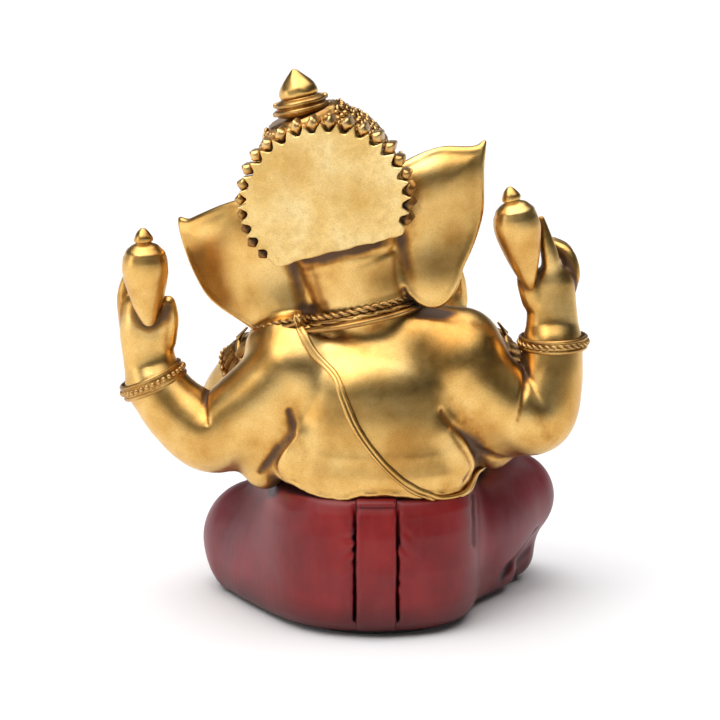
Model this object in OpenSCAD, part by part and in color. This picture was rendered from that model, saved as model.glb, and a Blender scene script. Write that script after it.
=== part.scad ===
// Seated four-armed, elephant-headed devotional figure.
// Separately cast pieces are pinned and bonded with steel dowels, then painted.
// Millimetres. The figure faces -Y, its left side is +X, its crown is +Z, and it rests on z = 0.
// The origin is on the underside of the felt, on the figure's mid-plane.

/* [Base and seat] */
// Thickness of the felt pad under the castings
felt_t = 1.2; // [0.8:0.1:2]
// Half width of the seat block
seat_rx = 31; // [29:0.5:32]
// Half depth of the seat block
seat_ry = 29.5; // [28:0.5:30]
// Width of the cloth strip that hangs down the middle of the back
strip_w = 11.6; // [9:0.2:13]

/* [Torso] */
// Half width of the belly
belly_rx = 34; // [31:0.5:35]
// How far the belly reaches forward of its centre
belly_ry = 30; // [28:0.5:31]
// Diameter of the cord worn across the body
thread_d = 1.8; // [1.4:0.1:2.2]

/* [Head] */
// How far the head leans towards the left shoulder, in degrees
head_tilt = 15; // [12:1:17]
// How far the face turns to the right, in degrees
head_turn = 10; // [7:1:12]
// Ear thickness at its middle
ear_t = 5; // [4:0.2:6]

/* [Crown] */
// Half width of the flat plate behind the crown
plate_rx = 24; // [23.4:0.1:24.6]
// Height of the plate's top above its widest line
plate_rz = 21.4; // [20.8:0.1:22]
// Thickness of the plate
plate_t = 3.4; // [2.6:0.2:4]
// Number of bead pitches round a full circle at the plate's rim
bead_n = 32; // [26:1:36]
// Radius of one bead
bead_r = 1.8; // [1.5:0.1:2]
// Height of the finial's pointed bud
bud_h = 7.9; // [7:0.1:8.4]

/* [Joints] */
// Bond line between two castings, on each mating surface
gap = 0.08; // [0.05:0.01:0.12]
// Diameter of the steel dowels
pin_d = 2; // [1.6:0.2:2.4]
// Radial clearance of a dowel in its bore
pin_gap = 0.05; // [0.03:0.01:0.08]

/* [Bangles] */
// Middle radius of the bangles on the raised wrists
bangle_r = 8.8; // [8.4:0.1:9.2]
// Thickness of a bangle
bangle_t = 3.2; // [2.6:0.1:3.6]

/* [Hidden] */
gold = [0.83, 0.62, 0.22];
deep = [0.66, 0.47, 0.15];
red = [0.55, 0.11, 0.12];
steel = [0.7, 0.71, 0.73];
pivot = [3.5, 5, 92];

// ---------- curves and skins ----------
function unit(v) = v / norm(v);
function at(P, i) = P[max(0, min(len(P) - 1, i))];
function xyz(p) = [p[0], p[1], p[2]];
function cr(a, b, c, d, t) = 0.5 * (2 * b + (c - a) * t + (2 * a - 5 * b + 4 * c - d) * t * t + (3 * b - a - 3 * c + d) * t * t * t);
function spline(P, n) = concat([for (i = [0:len(P) - 2]) for (k = [0:n - 1]) cr(at(P, i - 1), P[i], P[i + 1], at(P, i + 2), k / n)], [P[len(P) - 1]]);
function tangent(C, i) = unit(xyz(at(C, i + 1)) - xyz(at(C, i - 1)));
function ring(c, t, ref, ra, rb, n) = let (a = unit(cross(t, ref)), b = cross(t, a)) [for (k = [0:n - 1]) c + ra * cos(360 * k / n) * a + rb * sin(360 * k / n) * b];
function mean(R) = [for (j = [0:2]) ([for (p = R) p[j]] * [for (p = R) 1]) / len(R)];

// A closed surface through a list of rings that all have the same number of points
module skin(R) {
  m = len(R);
  n = len(R[0]);
  points = concat([for (r = R) for (p = r) p], [mean(R[0]), mean(R[m - 1])]);
  sides = [for (i = [0:m - 2]) for (k = [0:n - 1]) let (a = i * n + k, b = i * n + (k + 1) % n) each [[a, b + n, b], [a, a + n, b + n]]];
  first = [for (k = [0:n - 1]) [m * n, k, (k + 1) % n]];
  last = [for (k = [0:n - 1]) [m * n + 1, (m - 1) * n + (k + 1) % n, (m - 1) * n + k]];
  polyhedron(points = points, faces = concat(sides, first, last), convexity = 8);
}

// A round-ended limb along a smooth line of [x, y, z, radius]
module limb(P, n = 14, steps = 2, ref = [0, 1, 0.02], w = 1, h = 1, g = 0, caps = [68, 40, 18]) {
  C = spline(P, steps);
  m = len(C);
  skin(concat(
    [for (a = caps) let (c = C[0], r = c[3] + g, t = tangent(C, 0)) ring(xyz(c) - t * r * sin(a) * min(w, h), t, ref, w * r * cos(a), h * r * cos(a), n)],
    [for (i = [0:m - 1]) let (r = C[i][3] + g) ring(xyz(C[i]), tangent(C, i), ref, w * r, h * r, n)],
    [for (j = [len(caps) - 1:-1:0]) let (a = caps[j], c = C[m - 1], r = c[3] + g, t = tangent(C, m - 1)) ring(xyz(c) + t * r * sin(a) * min(w, h), t, ref, w * r * cos(a), h * r * cos(a), n)]));
}

// A slender round-ended limb, for fingers
module finger(P, g = 0, ref = [0, 1, 0.02]) limb(P, 8, 1, ref, g = g, caps = [55, 22]);

// An ellipsoid
module blob(c, r, rot = [0, 0, 0], g = 0, n = 20) translate(c) rotate(rot) scale([r[0] + g, r[1] + g, r[2] + g]) sphere(r = 1, $fn = n);

// One smooth casting out of the shapes inside it
module cast() resize([0, 0, 0]) union() children();

// Everything above the felt
module above(z = felt_t) intersection() { union() children(); translate([-100, -100, z]) cube([200, 200, 300]); }

module at_head() translate(pivot) rotate([0, head_tilt, 0]) rotate([0, 0, -head_turn]) children();

// The half space beyond a plane at c, kept within reach of it; o moves the plane along its axis
module past(c, axis, o = 0, w = 13) translate(c) rotate([0, acos(axis[2] / norm(axis)), atan2(axis[1], axis[0])]) translate([-w, -w, o]) cube([2 * w, 2 * w, 2.5 * w]);

// A cylinder from a to b
module rod(a, b, r, fn = 24) {
  v = b - a;
  translate(a) rotate([0, acos(v[2] / norm(v)), atan2(v[1], v[0])]) cylinder(r = r, h = norm(v), $fn = fn);
}

// ---------- seat and legs ----------
// [z, half width, half depth] up the seat
seat_rows = [[felt_t, 26.5, 24], [2.2, 28.2, 26], [4.5, 29.8, 28], [9, 30.8, 29.3], [20, 31, 29.5], [30, 30.6, 28.2], [36, 29.6, 26.6], [39.5, 28, 24.8], [41, 26, 23]];
function seat_ring(s, g, n = 32) = [for (k = [n - 1:-1:0]) let (c = cos(360 * k / n), s1 = sin(360 * k / n))
  [-(s[1] * seat_rx / 31 + g) * sign(c) * pow(abs(c), 0.82), 8 + (s[2] * seat_ry / 29.5 + g) * sign(s1) * pow(abs(s1), 0.82), s[0]]];
module seat_form(g = 0) skin([for (s = concat(g > 0 ? [[felt_t - 2, 26.4, 23.9]] : [], seat_rows)) seat_ring(s, g)]);

LL = [[12, 4, 18.5, 18.4], [25, -6.5, 17, 18.2], [35.2, -17.5, 15.2, 17.6]];
LS = [[36, -20, 14, 14.4], [27, -33, 11.6, 11.4], [11, -41, 9.9, 8]];
RL = [[-12, 4, 20, 18], [-28, -8, 21.5, 17], [-41.8, -23, 27, 13]];
RS = [[-42, -25, 25.5, 12.4], [-40.5, -31, 17, 10.6], [-37.5, -36, 10, 8.8]];
RF = [[-16, -6, 12.4, 9.8], [-30, -13, 10, 9.6], [-41.2, -22, 8.6, 8]];
module left_leg_form(g = 0) { limb(LL, 16, 2, [0, 0, 1], g = g); limb(LS, 14, 2, [0, 0, 1], g = g); }
module right_leg_form(g = 0) { limb(RL, 16, 2, [0, 0, 1], g = g); limb(RS, 14, 2, g = g); limb(RF, 12, 1, [0, 0, 1], g = g); }

LF = [[11, -41.6, 7.6, 5.2], [0, -46, 6.4, 5], [-9, -48, 6, 4.7]];
RFt = [[-37, -36, 9, 5.4], [-35.5, -44, 6.4, 5.2], [-34, -50, 5.8, 4.8]];
module left_foot_form(g = 0) {
  limb(LF, 12, 1, [0, 0, 1], g = g);
  for (i = [0:4]) blob([-14.2 + 0.7 * i, -51.5 + 1.9 * i, 5.6 - 0.5 * i], [2.5, 1.5 - 0.1 * i, 1.9 - 0.12 * i], g = g, n = 8);
}
module right_foot_form(g = 0) {
  limb(RFt, 12, 1, [0, 0, 1], g = g);
  for (i = [0:4]) blob([-30.6 - 1.95 * i, -55.3 + 0.6 * i, 5 - 0.5 * i], [1.5 - 0.1 * i, 2.5, 1.9 - 0.12 * i], g = g, n = 8);
}

// ---------- torso ----------
SH = [[-25, 6, 79.5, 11.6], [0, 6, 80.5, 12.4], [24, 6, 75.8, 11.6]];
module torso_form(g = 0) {
  blob([0, -9, 47], [belly_rx, belly_ry, 24], g = g, n = 28);
  blob([0, 4, 62], [29, 26, 26], g = g, n = 28);
  blob([0, 6, 46], [30, 26.5, 20], g = g, n = 28);
  limb(SH, 16, 2, g = g);
}

// The cord's line: from under the collar down the back to the right hip, and up the front to the collar again
TH = [[21, 14.5, 87.4], [19.2, 20, 84.6], [16, 25.6, 79], [11.6, 28.9, 70], [5, 30.4, 60], [-4, 31.5, 50], [-13, 30.6, 43.6], [-22, 25, 42], [-27.5, 16, 43], [-30.2, 5, 44],
  [-31, -8, 44], [-28.5, -20, 45], [-21, -31, 47.5], [-10, -38.2, 52], [0, -38.6, 58], [8, -33.5, 65], [13, -24, 73], [16.4, -14, 81], [18, -9, 85.6]];
module cord_form(g = 0) let (C = spline(TH, 2), m = len(C)) skin([for (i = [0:m - 1]) ring(C[i], tangent(C, i), C[i] - [0, 0, 62], thread_d / 2 + g, thread_d / 2 + g, 6)]);

// ---------- arms ----------
RLA = [[25, 9.5, 72.5, 12.6], [36, 10.5, 62, 12.5], [47, 10, 55, 11.8], [57, 8, 60, 10.2], [64.3, 6, 68, 8.7]];
RRA = [[-25, 9.5, 73.5, 12.6], [-36.5, 10.5, 63.5, 12.3], [-46.5, 10, 60, 11.4], [-50.8, 8, 70, 9.6], [-51.6, 6, 80, 8.5]];
FLA = [[27, -5, 76.5, 10.6], [38, -11, 66, 10.3], [44, -17, 56, 9.4], [38, -29, 51.5, 8], [28.5, -37.5, 51, 6.3]];
FRA = [[-26, -5, 78.5, 10.2], [-35.5, -11, 68, 9.8], [-40, -17, 58.5, 9], [-35, -28, 61.5, 7.8], [-26.5, -35, 70, 6.2]];
module rear_left_arm_form(g = 0) limb(RLA, 14, 3, g = g);
module rear_right_arm_form(g = 0) limb(RRA, 14, 3, g = g);
module front_left_arm_form(g = 0) limb(FLA, 12, 3, [0.2, 0.3, 1], g = g);
module front_right_arm_form(g = 0) limb(FRA, 12, 3, [0.5, 0.9, 0.1], g = g);

// ---------- hands ----------
module rear_left_hand_form(g = 0) {
  limb([[64.6, 6, 68.6, 8.5], [66.4, 5.3, 76.4, 7.6], [67, 4.8, 84, 7.8], [67.8, 4, 90, 6.4]], 12, 2, h = 0.8, g = g);
  finger([[61.5, 6.5, 82, 3.4], [60.2, 7.4, 88, 3], [60.4, 7.8, 92.6, 2.4]], g);
  for (i = [0:3]) finger([[72.4, 2.4 - 3.6 * i, 86, 2.7], [73.2, 2.6 - 3.7 * i, 93, 2.5], [72, 2.8 - 3.7 * i, 98.6, 2.2], [69.6, 3 - 3.6 * i, 102.4 - 0.8 * i, 1.8]], g);
}
module rear_right_hand_form(g = 0) {
  limb([[-51.7, 5.8, 80.4, 8.3], [-51.4, 5, 88.6, 7.4], [-51, 4, 96.5, 7]], 12, 2, h = 0.8, g = g);
  finger([[-45.6, 6, 93.5, 3.3], [-43.6, 7, 98.5, 2.7], [-42.9, 7.6, 102.6, 2.1]], g);
  finger([[-51.4, 5.4, 97, 3.1], [-50.6, 6, 105, 2.7], [-49, 5.6, 111.5, 2], [-47.8, 5, 117, 1]], g);
  for (i = [0:2]) finger([[-55.4, 0.6 - 3.7 * i, 94, 2.8], [-57.3, -0.2 - 3.7 * i, 100, 2.6], [-56, -1.4 - 3.6 * i, 105.4, 2.3], [-52.4, -2.4 - 3.4 * i, 107.6, 2]], g);
}
module front_left_hand_form(g = 0) {
  limb([[29.2, -36.8, 51, 6], [22.5, -42.5, 51.8, 6.4], [17.5, -44.5, 52.6, 5.6]], 12, 2, [0, 0, 1], g = g);
  finger([[25, -46, 53, 2.8], [21.8, -50, 55.5, 2.4], [17.6, -51.4, 58, 2]], g, [0, 0, 1]);
  for (i = [0:3]) finger([[15.5, -49 + 3.3 * i, 52.6, 2.2], [11.4, -49.4 + 3.4 * i, 54.4, 2.1], [8.9, -49.2 + 3.3 * i, 58.2, 1.8]], g);
}
module front_right_hand_form(g = 0) {
  limb([[-27.2, -34.4, 69, 6], [-23.4, -37, 77.5, 6.8], [-21.6, -37.5, 83.5, 6.6]], 12, 2, h = 0.62, g = g);
  finger([[-18.4, -39, 77, 2.9], [-14.6, -40, 81.5, 2.5], [-13.2, -40.2, 86, 2]], g);
  for (i = [0:3]) finger([[-16.7 - 3.3 * i, -37.7, 85.6, 2.35], [-15.5 - 3.55 * i, -37.3, 90.8, 2.15], [-14.9 - 3.6 * i, -36.5, 96.2 - abs(i - 1) * 1.1, 1.7]], g);
}

// ---------- bangles, armlets and attributes ----------
// A ring with a rounded outside and a plain inside: centre, axis, mid radius, thickness
module band(c, axis, r, t, g = 0, h = 1.25) translate(c) rotate([0, acos(axis[2] / norm(axis)), atan2(axis[1], axis[0])])
  rotate_extrude($fn = g > 0 ? 28 : 64) translate([r, 0]) union() {
    translate([t * 0.12, 0]) circle(r = t / 2 + g, $fn = g > 0 ? 12 : 32);
    translate([-t * 0.3 - g, -t * h / 2 - g]) square([t * 0.5 + 2 * g, t * h + 2 * g]);
  }
rl_wrist = [[65.3, 5.6, 69.6], [0.41, 0, 0.91]];
rr_wrist = [[-51.8, 5.9, 81], [0.02, 0, 1]];
fl_wrist = [[29.4, -36.6, 51.1], [-0.74, -0.66, 0.04]];
fr_wrist = [[-27.4, -34.2, 68.8], [0.62, -0.5, 0.66]];
l_ankle = [[10.4, -41.4, 9.9], [-0.93, -0.36, -0.1]];
r_ankle = [[-37, -37, 10.4], [0.12, -0.55, -0.83]];
module rear_left_bangle_form(g = 0) band(rl_wrist[0], rl_wrist[1], bangle_r, bangle_t, g);
module rear_right_bangle_form(g = 0) band(rr_wrist[0], rr_wrist[1], bangle_r, bangle_t, g);
module front_left_bangle_form(g = 0) band(fl_wrist[0], fl_wrist[1], 6.5, 2.6, g);
module front_right_bangle_form(g = 0) band(fr_wrist[0], fr_wrist[1], 6.4, 2.6, g);
module left_anklet_form(g = 0) band(l_ankle[0], l_ankle[1], 6.9, 2.4, g);
module right_anklet_form(g = 0) band(r_ankle[0], r_ankle[1], 7.4, 2.4, g);
module armlet(c, axis, r, g = 0) translate(c) rotate([0, acos(axis[2] / norm(axis)), atan2(axis[1], axis[0])]) {
  rotate_extrude($fn = 24) translate([r - 0.8, -5]) polygon([[0, -g], [1.6 + g, 0.6], [2.1 + g, 2], [1.7 + g, 5], [2.1 + g, 8], [1.6 + g, 9.4], [0, 10 + g]]);
  if (g == 0) for (k = [0:6]) rotate([0, 0, 360 * k / 7]) translate([r + 0.3, 0, 4.2]) rotate([0, 8, 0]) cylinder(r1 = 1.9, r2 = 0.5, h = 5.4, $fn = 8);
}
module left_armlet_form(g = 0) armlet([35.2, -9.4, 68.8], [-0.62, 0.34, 0.62], 10.4, g);
module right_armlet_form(g = 0) armlet([-33, -9.4, 70.6], [0.54, 0.34, 0.62], 10, g);

// A conch standing on its narrow end, spire up
module conch_form(g = 0) {
  rotate_extrude($fn = g > 0 ? 24 : 48) polygon(concat([[0, -g]], [for (q = spline([[0.9, 0], [2.6, 3.4], [4.7, 9.4], [6.3, 15.6], [6.75, 19.4], [5.9, 23.2], [3.8, 25.6], [2.2, 26.4], [2.45, 27.2], [2.3, 28.4], [0.9, 30.4]], 2)) [q[0] + g, q[1]]], [[0, 30.9 + g]]));
}
module at_left_conch() translate([65.8, 8.4, 84.4]) rotate([-4, 2, 0]) children();
module at_right_conch() translate([-44.6, 8.6, 97]) rotate([-4, 12.5, 0]) children();
bowl_c = [17, -46.5, 55.6];
module bowl_form(g = 0) translate(bowl_c) rotate_extrude($fn = g > 0 ? 24 : 48) difference() {
  polygon([[0, -g], [3.4 + g, -g], [5.6 + g, 1.2], [7.2 + g, 3.6], [7.8 + g, 6.2], [7.5 + g, 6.6 + g], [0, 6.6 + g]]);
  if (g == 0) polygon([[0, 4.4], [6.2, 4.4], [6.9, 6.2], [7, 8], [0, 8]]);
}
module sweets_form(g = 0) translate(bowl_c + [0, 0, 4.45]) {
  for (k = [0:4]) rotate([0, 0, 72 * k + 20]) translate([4.1, 0, 2.05]) sweet(2 + g);
  translate([0, 0, 4.2]) sweet(2.1 + g);
}
module sweet(r) rotate_extrude($fn = 16) intersection() { union() { circle(r = r, $fn = 24); polygon([[0, 0], [r * 0.8, r * 0.58], [0, r * 1.55]]); } translate([0, -10]) square([10, 20]); }

// ---------- head ----------
module head_form(g = 0) at_head() {
  limb([[0, -0.8, -9, 14.6], [0, -0.8, 2, 14.5], [0, -0.8, 12, 14.4], [0, -1.2, 20, 14]], 20, 2, [0, 1, 0.02], w = 1.03, g = g);
  blob([0, -4, 20], [16.8, 17, 17], g = g, n = 24);
  for (s = [-1, 1]) { blob([s * 8.4, -13, 9], [7.8, 8, 9.4], g = g, n = 16); blob([s * 5.8, -13.2, 22], [8, 7.4, 7.6], g = g, n = 16); }
}
TR = [[0, -13, 13, 8.6], [0, -20, 7.5, 8], [0, -25.5, -2, 7], [2.5, -29.5, -12, 6], [8, -32.5, -20, 5.1], [15, -34.5, -24.6, 4.4], [21, -35.5, -24, 3.9], [24.6, -36, -19.4, 3.5]];
module trunk_form(g = 0) at_head() limb(TR, 14, 2, [1, 0, 0.02], g = g);
module tusk_form(s, g = 0) at_head() translate([s * 9, -19, 2.6]) rotate([112, 0, s * 14]) cylinder(r1 = 2.5 + g, r2 = (s > 0 ? 0.7 : 1.9) + g, h = (s > 0 ? 13 : 6.5) + g, $fn = g > 0 ? 16 : 24);
module eyes_form(g = 0) at_head() for (s = [-1, 1]) translate([s * 9.3, -19.2, 16.2]) sphere(r = 1.9 + g, $fn = g > 0 ? 14 : 24);
module brow_mark_form(g = 0) at_head() translate([0, -20.6, 21.6]) rotate([96, 0, 0]) cylinder(r = 1.5 + g, h = 1.3 + g, $fn = g > 0 ? 16 : 24, center = true);

// Outline of each ear, as [sideways, up] from the head's pivot
EOL = [[49.4, 36.4], [49.4, 28.6], [48.6, 20.6], [46.4, 13.2], [43, 8.8], [38, 4.6], [32.4, 0], [26.4, -4], [19.4, -4.4], [14.2, 1], [12.8, 10], [12.6, 22], [14, 31.5], [19, 35.8], [26, 37.8], [33.6, 37.7], [42, 36.3], [46, 35.6]];
EOR = [[45.8, 37.4], [43.9, 30.6], [42.4, 24.4], [40.6, 18], [37.8, 12.6], [34.6, 7.8], [31.6, 4], [28.6, -1], [23.4, -4.8], [18, -3.6], [14, 2], [12.8, 10], [12.6, 22], [14, 32], [19, 36.4], [26.2, 38.4], [33.2, 38.8], [39.6, 37.2], [43, 36.6]];
function ear_y(x, z) = 3.4 - 5.5 * pow(max(0, x - 14) / 32, 2) - 1.8 * cos(max(-180, min(180, (z - 17) * 9)));
module ear_form(s, g = 0) at_head() {
  E = s > 0 ? EOL : EOR;
  c = [27, 17];
  n = len(E);
  levels = [[0.5, -1], [0.82, -0.7], [1, 0], [0.82, 0.7], [0.5, 1]];
  skin([for (q = levels) [for (i = [0:n - 1]) let (k = s > 0 ? i : n - 1 - i, x = c[0] + q[0] * (E[k][0] - c[0]), z = c[1] + q[0] * (E[k][1] - c[1]))
    [s * (x + (q[0] == 1 ? g : 0)), ear_y(x, z) + q[1] * (ear_t / 2 + g), z + (q[0] == 1 ? g * sign(z - c[1]) : 0)]]]);
}

// ---------- crown ----------
plate_c = [0, 12.4, 33.6];
plate_low = 18.6;
function rim(a, o = 0.5) = [plate_c[0] + (plate_rx + o) * cos(a), plate_c[2] + (plate_rz + o) * sin(a)];
bead_list = [for (k = [0:bead_n - 1]) let (a = -90 + 360 * (k + 0.5) / bead_n) if (rim(a)[1] > plate_low + 1.6) a];
module plate_form(g = 0) at_head() difference() {
  translate([0, plate_c[1] + plate_t + 2 * g, 0]) rotate([90, 0, 0]) linear_extrude(plate_t + 3 * g) polygon([for (k = [0:(g > 0 ? 48 : 120) - 1]) rim(k * (g > 0 ? 7.5 : 3), g)]);
  translate([-40, 0, plate_low - 60 - g]) cube([80, 40, 60]);
}
module crown_plate() color(gold) difference() {
  plate_form();
  at_head() for (a = bead_list) translate([rim(a)[0], plate_c[1] - 1, rim(a)[1]]) rotate([-90, 0, 0]) cylinder(r = bead_r + 0.06, h = plate_t + 2, $fn = 24);
}
module beads_form(g = 0) at_head() for (a = bead_list) translate([rim(a)[0], plate_c[1] - 4.6 - g, rim(a)[1]]) rotate([-90, 0, 0]) {
  cylinder(r = bead_r + g, h = plate_t + 3.4, $fn = 24);
  translate([0, 0, plate_t + 3.4]) sphere(r = bead_r, $fn = 24);
}
// Profile of the crown above the head: [radius, height]
DP = [[17.6, 20], [18.2, 29], [18.9, 36], [19.2, 42], [17.9, 47.5], [15.2, 52], [11.6, 56], [9.4, 60]];
module dome_form(g = 0) intersection() {
  at_head() translate([0, -3, 28]) rotate([-6, 5, 0]) translate([0, 0, -28]) rotate_extrude($fn = 72) polygon(concat([[0, 20]], [for (q = spline(DP, 3)) [q[0] + g, q[1]]], [[0, 60]]));
  at_head() translate([-40, -40, 27.98]) cube([80, 52.3 + g, 60]);
}
// Where the finial stands, leaning less than the head
module at_finial() translate([20.8, 4.8, 147.2]) rotate([0, 12, 0]) children();
module band_form(g = 0) at_head() intersection() {
  translate([0, -3, 0]) rotate_extrude($fn = 72) translate([0, 27.93]) polygon([[0, -4.4 - g], [18.8 + g, -4.4 - g], [19.8 + g, -3.6], [19.3 + g, -2.4], [20.2 + g, -1.2], [21 + g, 0], [0, 0]]);
  translate([-40, -40, 0]) cube([80, 52.3 + g, 90]);
}
module leaf(h, w) rotate([90, 0, 0]) linear_extrude(1.6, center = true) polygon([[-w * 0.6, 0], [w * 0.6, 0], [w, h * 0.3], [w * 0.86, h * 0.58], [w * 0.42, h * 0.84], [0, h], [-w * 0.42, h * 0.84], [-w * 0.86, h * 0.58], [-w, h * 0.3]]);
module leaves_form() at_head() translate([0, -3, 0]) for (k = [-3:3]) rotate([0, 0, 26 * k]) translate([0, -20.6 - (abs(k) == 0 ? 0.3 : 0), 27.98]) rotate([3, 0, 0]) leaf(abs(k) == 0 ? 19 : 15 - abs(k), abs(k) == 0 ? 4.8 : 4.1);
module jewels_form(g = 0) at_head() translate([0, -3, 0]) {
  for (k = [-5:5]) rotate([0, 0, 15.5 * k]) translate([0, -20, 25.6]) sphere(r = 0.95 + g, $fn = 20);
  for (k = [-3:3]) rotate([0, 0, 26 * k]) translate([0, -21.5 - (k == 0 ? 0.4 : 0), k == 0 ? 33.4 : 32]) sphere(r = (k == 0 ? 1.5 : 1.1) + g, $fn = 20);
}
module finial_ring_form() at_finial() rotate_extrude($fn = 64) polygon(concat([[0, 0], [6, 0]], [for (q = spline([[6.8, 0.3], [7.9, 1.1], [8.1, 2.1], [7.1, 2.7], [7.5, 3.3], [7.3, 4.2], [6, 4.8]], 4)) q], [[5.6, 5.2], [0, 5.2]]));
module finial_bud_form() at_finial() translate([0, 0, 5.25]) rotate_extrude($fn = 64) polygon(concat([[0, 0], [5.2, 0]], [for (q = spline([[5.3, 0.4], [5.5, 1.5], [4.9, 3.2], [3.5, 5.1], [1.8, 6.8]], 4)) [q[0], q[1] * bud_h / 7.9]], [[0.5, bud_h * 0.965], [0, bud_h]]));

// ---------- necklaces ----------
// The flat joint between neck and shoulders, in the plane of the collar
module neck_plane() translate([5, 3.4, 89]) rotate([4, 8, 0]) children();
module collar_form(g = 0) translate([5, 3.4, 89]) rotate([4, 8, 0]) difference() {
  rotate_extrude($fn = g > 0 ? 40 : 72) translate([19.4, 0]) circle(r = 1.9 + g, $fn = g > 0 ? 12 : 24);
  translate([-9.4, -40, -10]) cube([18.8, 40, 20]);
}
module neck_cord_form(g = 0) translate([5.4, 4.4, 92.2]) rotate([4, 8, 0]) difference() {
  rotate_extrude($fn = g > 0 ? 40 : 72) translate([16, 0]) circle(r = 1.5 + g, $fn = g > 0 ? 12 : 24);
  translate([-8.4, -40, -10]) cube([16.8, 40, 20]);
}
module pendant_form() translate([4, -22.3, 83.4]) rotate([78, 0, 0]) { cylinder(r = 3.6, h = 1.6, $fn = 36); translate([0, 0, 1.6]) cylinder(r1 = 2.4, r2 = 1.5, h = 1.1, $fn = 36); }

// ---------- dowels ----------
rear_left_pin = [[4, 8.4, 74], [32, 10, 67]];
rear_right_pin = [[-4, 8.4, 75], [-32, 10, 68]];
front_left_pin = [[8, 0.5, 74], [31, -7, 71.5]];
front_right_pin = [[-7.5, 0.5, 76], [-30, -7, 73.5]];
rl_hand_pin = [[61.2, 6.8, 64.5], [66.4, 5.4, 76.5]];
rr_hand_pin = [[-51.4, 6.8, 75.5], [-51.5, 5.4, 88]];
fl_hand_pin = [[33.4, -33, 51.2], [24.4, -41, 51.5]];
fr_hand_pin = [[-30, -31.8, 66], [-24.6, -36.4, 74.6]];
module dowel(p, g = 0) rod(p[0], p[1], pin_d / 2 + g);
module dowel_bore(p) let (u = unit(p[1] - p[0])) rod(p[0] - u * 0.3, p[1] + u * 0.3, pin_d / 2 + pin_gap);

// ---------- the pieces ----------
module taper(a, ra, b, rb) hull() { translate(a) circle(r = ra, $fn = 32); translate(b) circle(r = rb, $fn = 32); }
module felt_pad() color([0.16, 0.15, 0.15]) linear_extrude(felt_t) union() {
  translate([0, 8]) scale([1, 0.92]) circle(r = 25, $fn = 64);
  taper([16, 0], 10, [35, -17.5], 9.5);
  taper([34, -21], 5.5, [26, -33], 4);
  taper([-16, 2], 10, [-40, -22], 4.5);
}
module seat() color(red) difference() {
  cast() difference() {
    above() seat_form();
    torso_form(gap);
    translate([-strip_w / 2 - 0.8, 30, -1]) cube([strip_w + 1.6, 20, 60]);
  }
  for (s = [-1, 1]) dowel_bore([[s * 12, 2, 12], [s * 12, 2, 44]]);
  dowel_bore([[20, -4, 17], [36, -16, 17]]);
  dowel_bore([[-20, -4, 18], [-36, -16, 22]]);
}
module left_leg() color(red) difference() {
  cast() above() difference() { left_leg_form(); seat_form(gap); torso_form(gap); past(l_ankle[0], l_ankle[1], -gap / 2); left_anklet_form(gap); pleat_form(gap); }
  dowel_bore([[20, -4, 17], [36, -16, 17]]);
}
module right_leg() color(red) difference() {
  cast() above() difference() { right_leg_form(); seat_form(gap); torso_form(gap); past(r_ankle[0], r_ankle[1], -gap / 2); right_anklet_form(gap); left_leg_form(gap); }
  dowel_bore([[-20, -4, 18], [-36, -16, 22]]);
}
module back_strip() color(red) cast() above() difference() {
  intersection() { seat_form(0.35); translate([-strip_w / 2, 30.1, 0]) cube([strip_w, 20, 60]); }
  torso_form(gap);
}
// The pleated end of cloth that hangs in front
module pleat_form(g = 0) {
  rows = [[-1, -36.6, 27, 4, 3], [-1.4, -42.4, 23.4, 5, 2.8], [-2.2, -48.6, 17.6, 6.4, 2.6], [-3, -53, 9.6, 8, 2.4], [-3.4, -54.6, 3.6, 9.2, 2.4]];
  skin([for (i = [0:len(rows) - 1]) let (q = rows[i], n = 32) [for (k = [0:n - 1]) let (a = 360 * k / n, x = cos(a), y = sin(a), t = [0, i == 0 ? 0.5 : 0.35, 0])
    [q[0] + (q[3] + g) * x, q[1] - (q[4] * 0.5 + g) * y * (i > 2 ? 1 : 0.9) - 0.5 * cos(5 * 180 * x) * (i / 4), q[2] + (i == 0 ? g : 0) - (i < 3 ? (q[4] * 0.5 + g) * y * -0.7 : 0)]]]);
}
module front_pleat() color(red) cast() above(felt_t + 0.4) difference() { pleat_form(); torso_form(gap); left_anklet_form(gap); }
module left_foot() color(gold) cast() above(felt_t) difference() { left_foot_form(); past(l_ankle[0], -l_ankle[1], -gap / 2); left_anklet_form(gap); pleat_form(gap); }
module right_foot() color(gold) cast() above(felt_t) difference() { right_foot_form(); past(r_ankle[0], -r_ankle[1], -gap / 2); right_anklet_form(gap); }
module left_anklet() color(deep) left_anklet_form();
module right_anklet() color(deep) right_anklet_form();
module torso() color(gold) difference() {
  cast() difference() {
    torso_form();
    rear_left_arm_form(gap); rear_right_arm_form(gap); front_left_arm_form(gap); front_right_arm_form(gap);
    neck_plane() translate([0, 0, -gap / 2]) cylinder(r = 23, h = 30, $fn = 40);
    trunk_form(gap); cord_form(0.04); collar_form(gap); front_left_hand_form(gap);
  }
  for (s = [-1, 1]) dowel_bore([[s * 12, 2, 12], [s * 12, 2, 44]]);
  dowel_bore(rear_left_pin); dowel_bore(rear_right_pin); dowel_bore(front_left_pin); dowel_bore(front_right_pin);
  dowel_bore([[2, 4, 66], [4.6, 4, 96]]);
}
module body_cord() color(deep) cast() difference() { cord_form(); collar_form(gap); seat_form(gap); }
module neck_cord() color(deep) neck_cord_form();
module collar() color(deep) collar_form();
module pendant() color(gold) cast() difference() { pendant_form(); torso_form(gap); trunk_form(gap); collar_form(gap); head_form(gap); }
module rear_left_arm() color(gold) difference() {
  cast() difference() { rear_left_arm_form(); past(rl_wrist[0], rl_wrist[1], -gap / 2); rear_left_bangle_form(gap); seat_form(gap); collar_form(gap); cord_form(gap); }
  dowel_bore(rear_left_pin); dowel_bore(rl_hand_pin);
}
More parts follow.
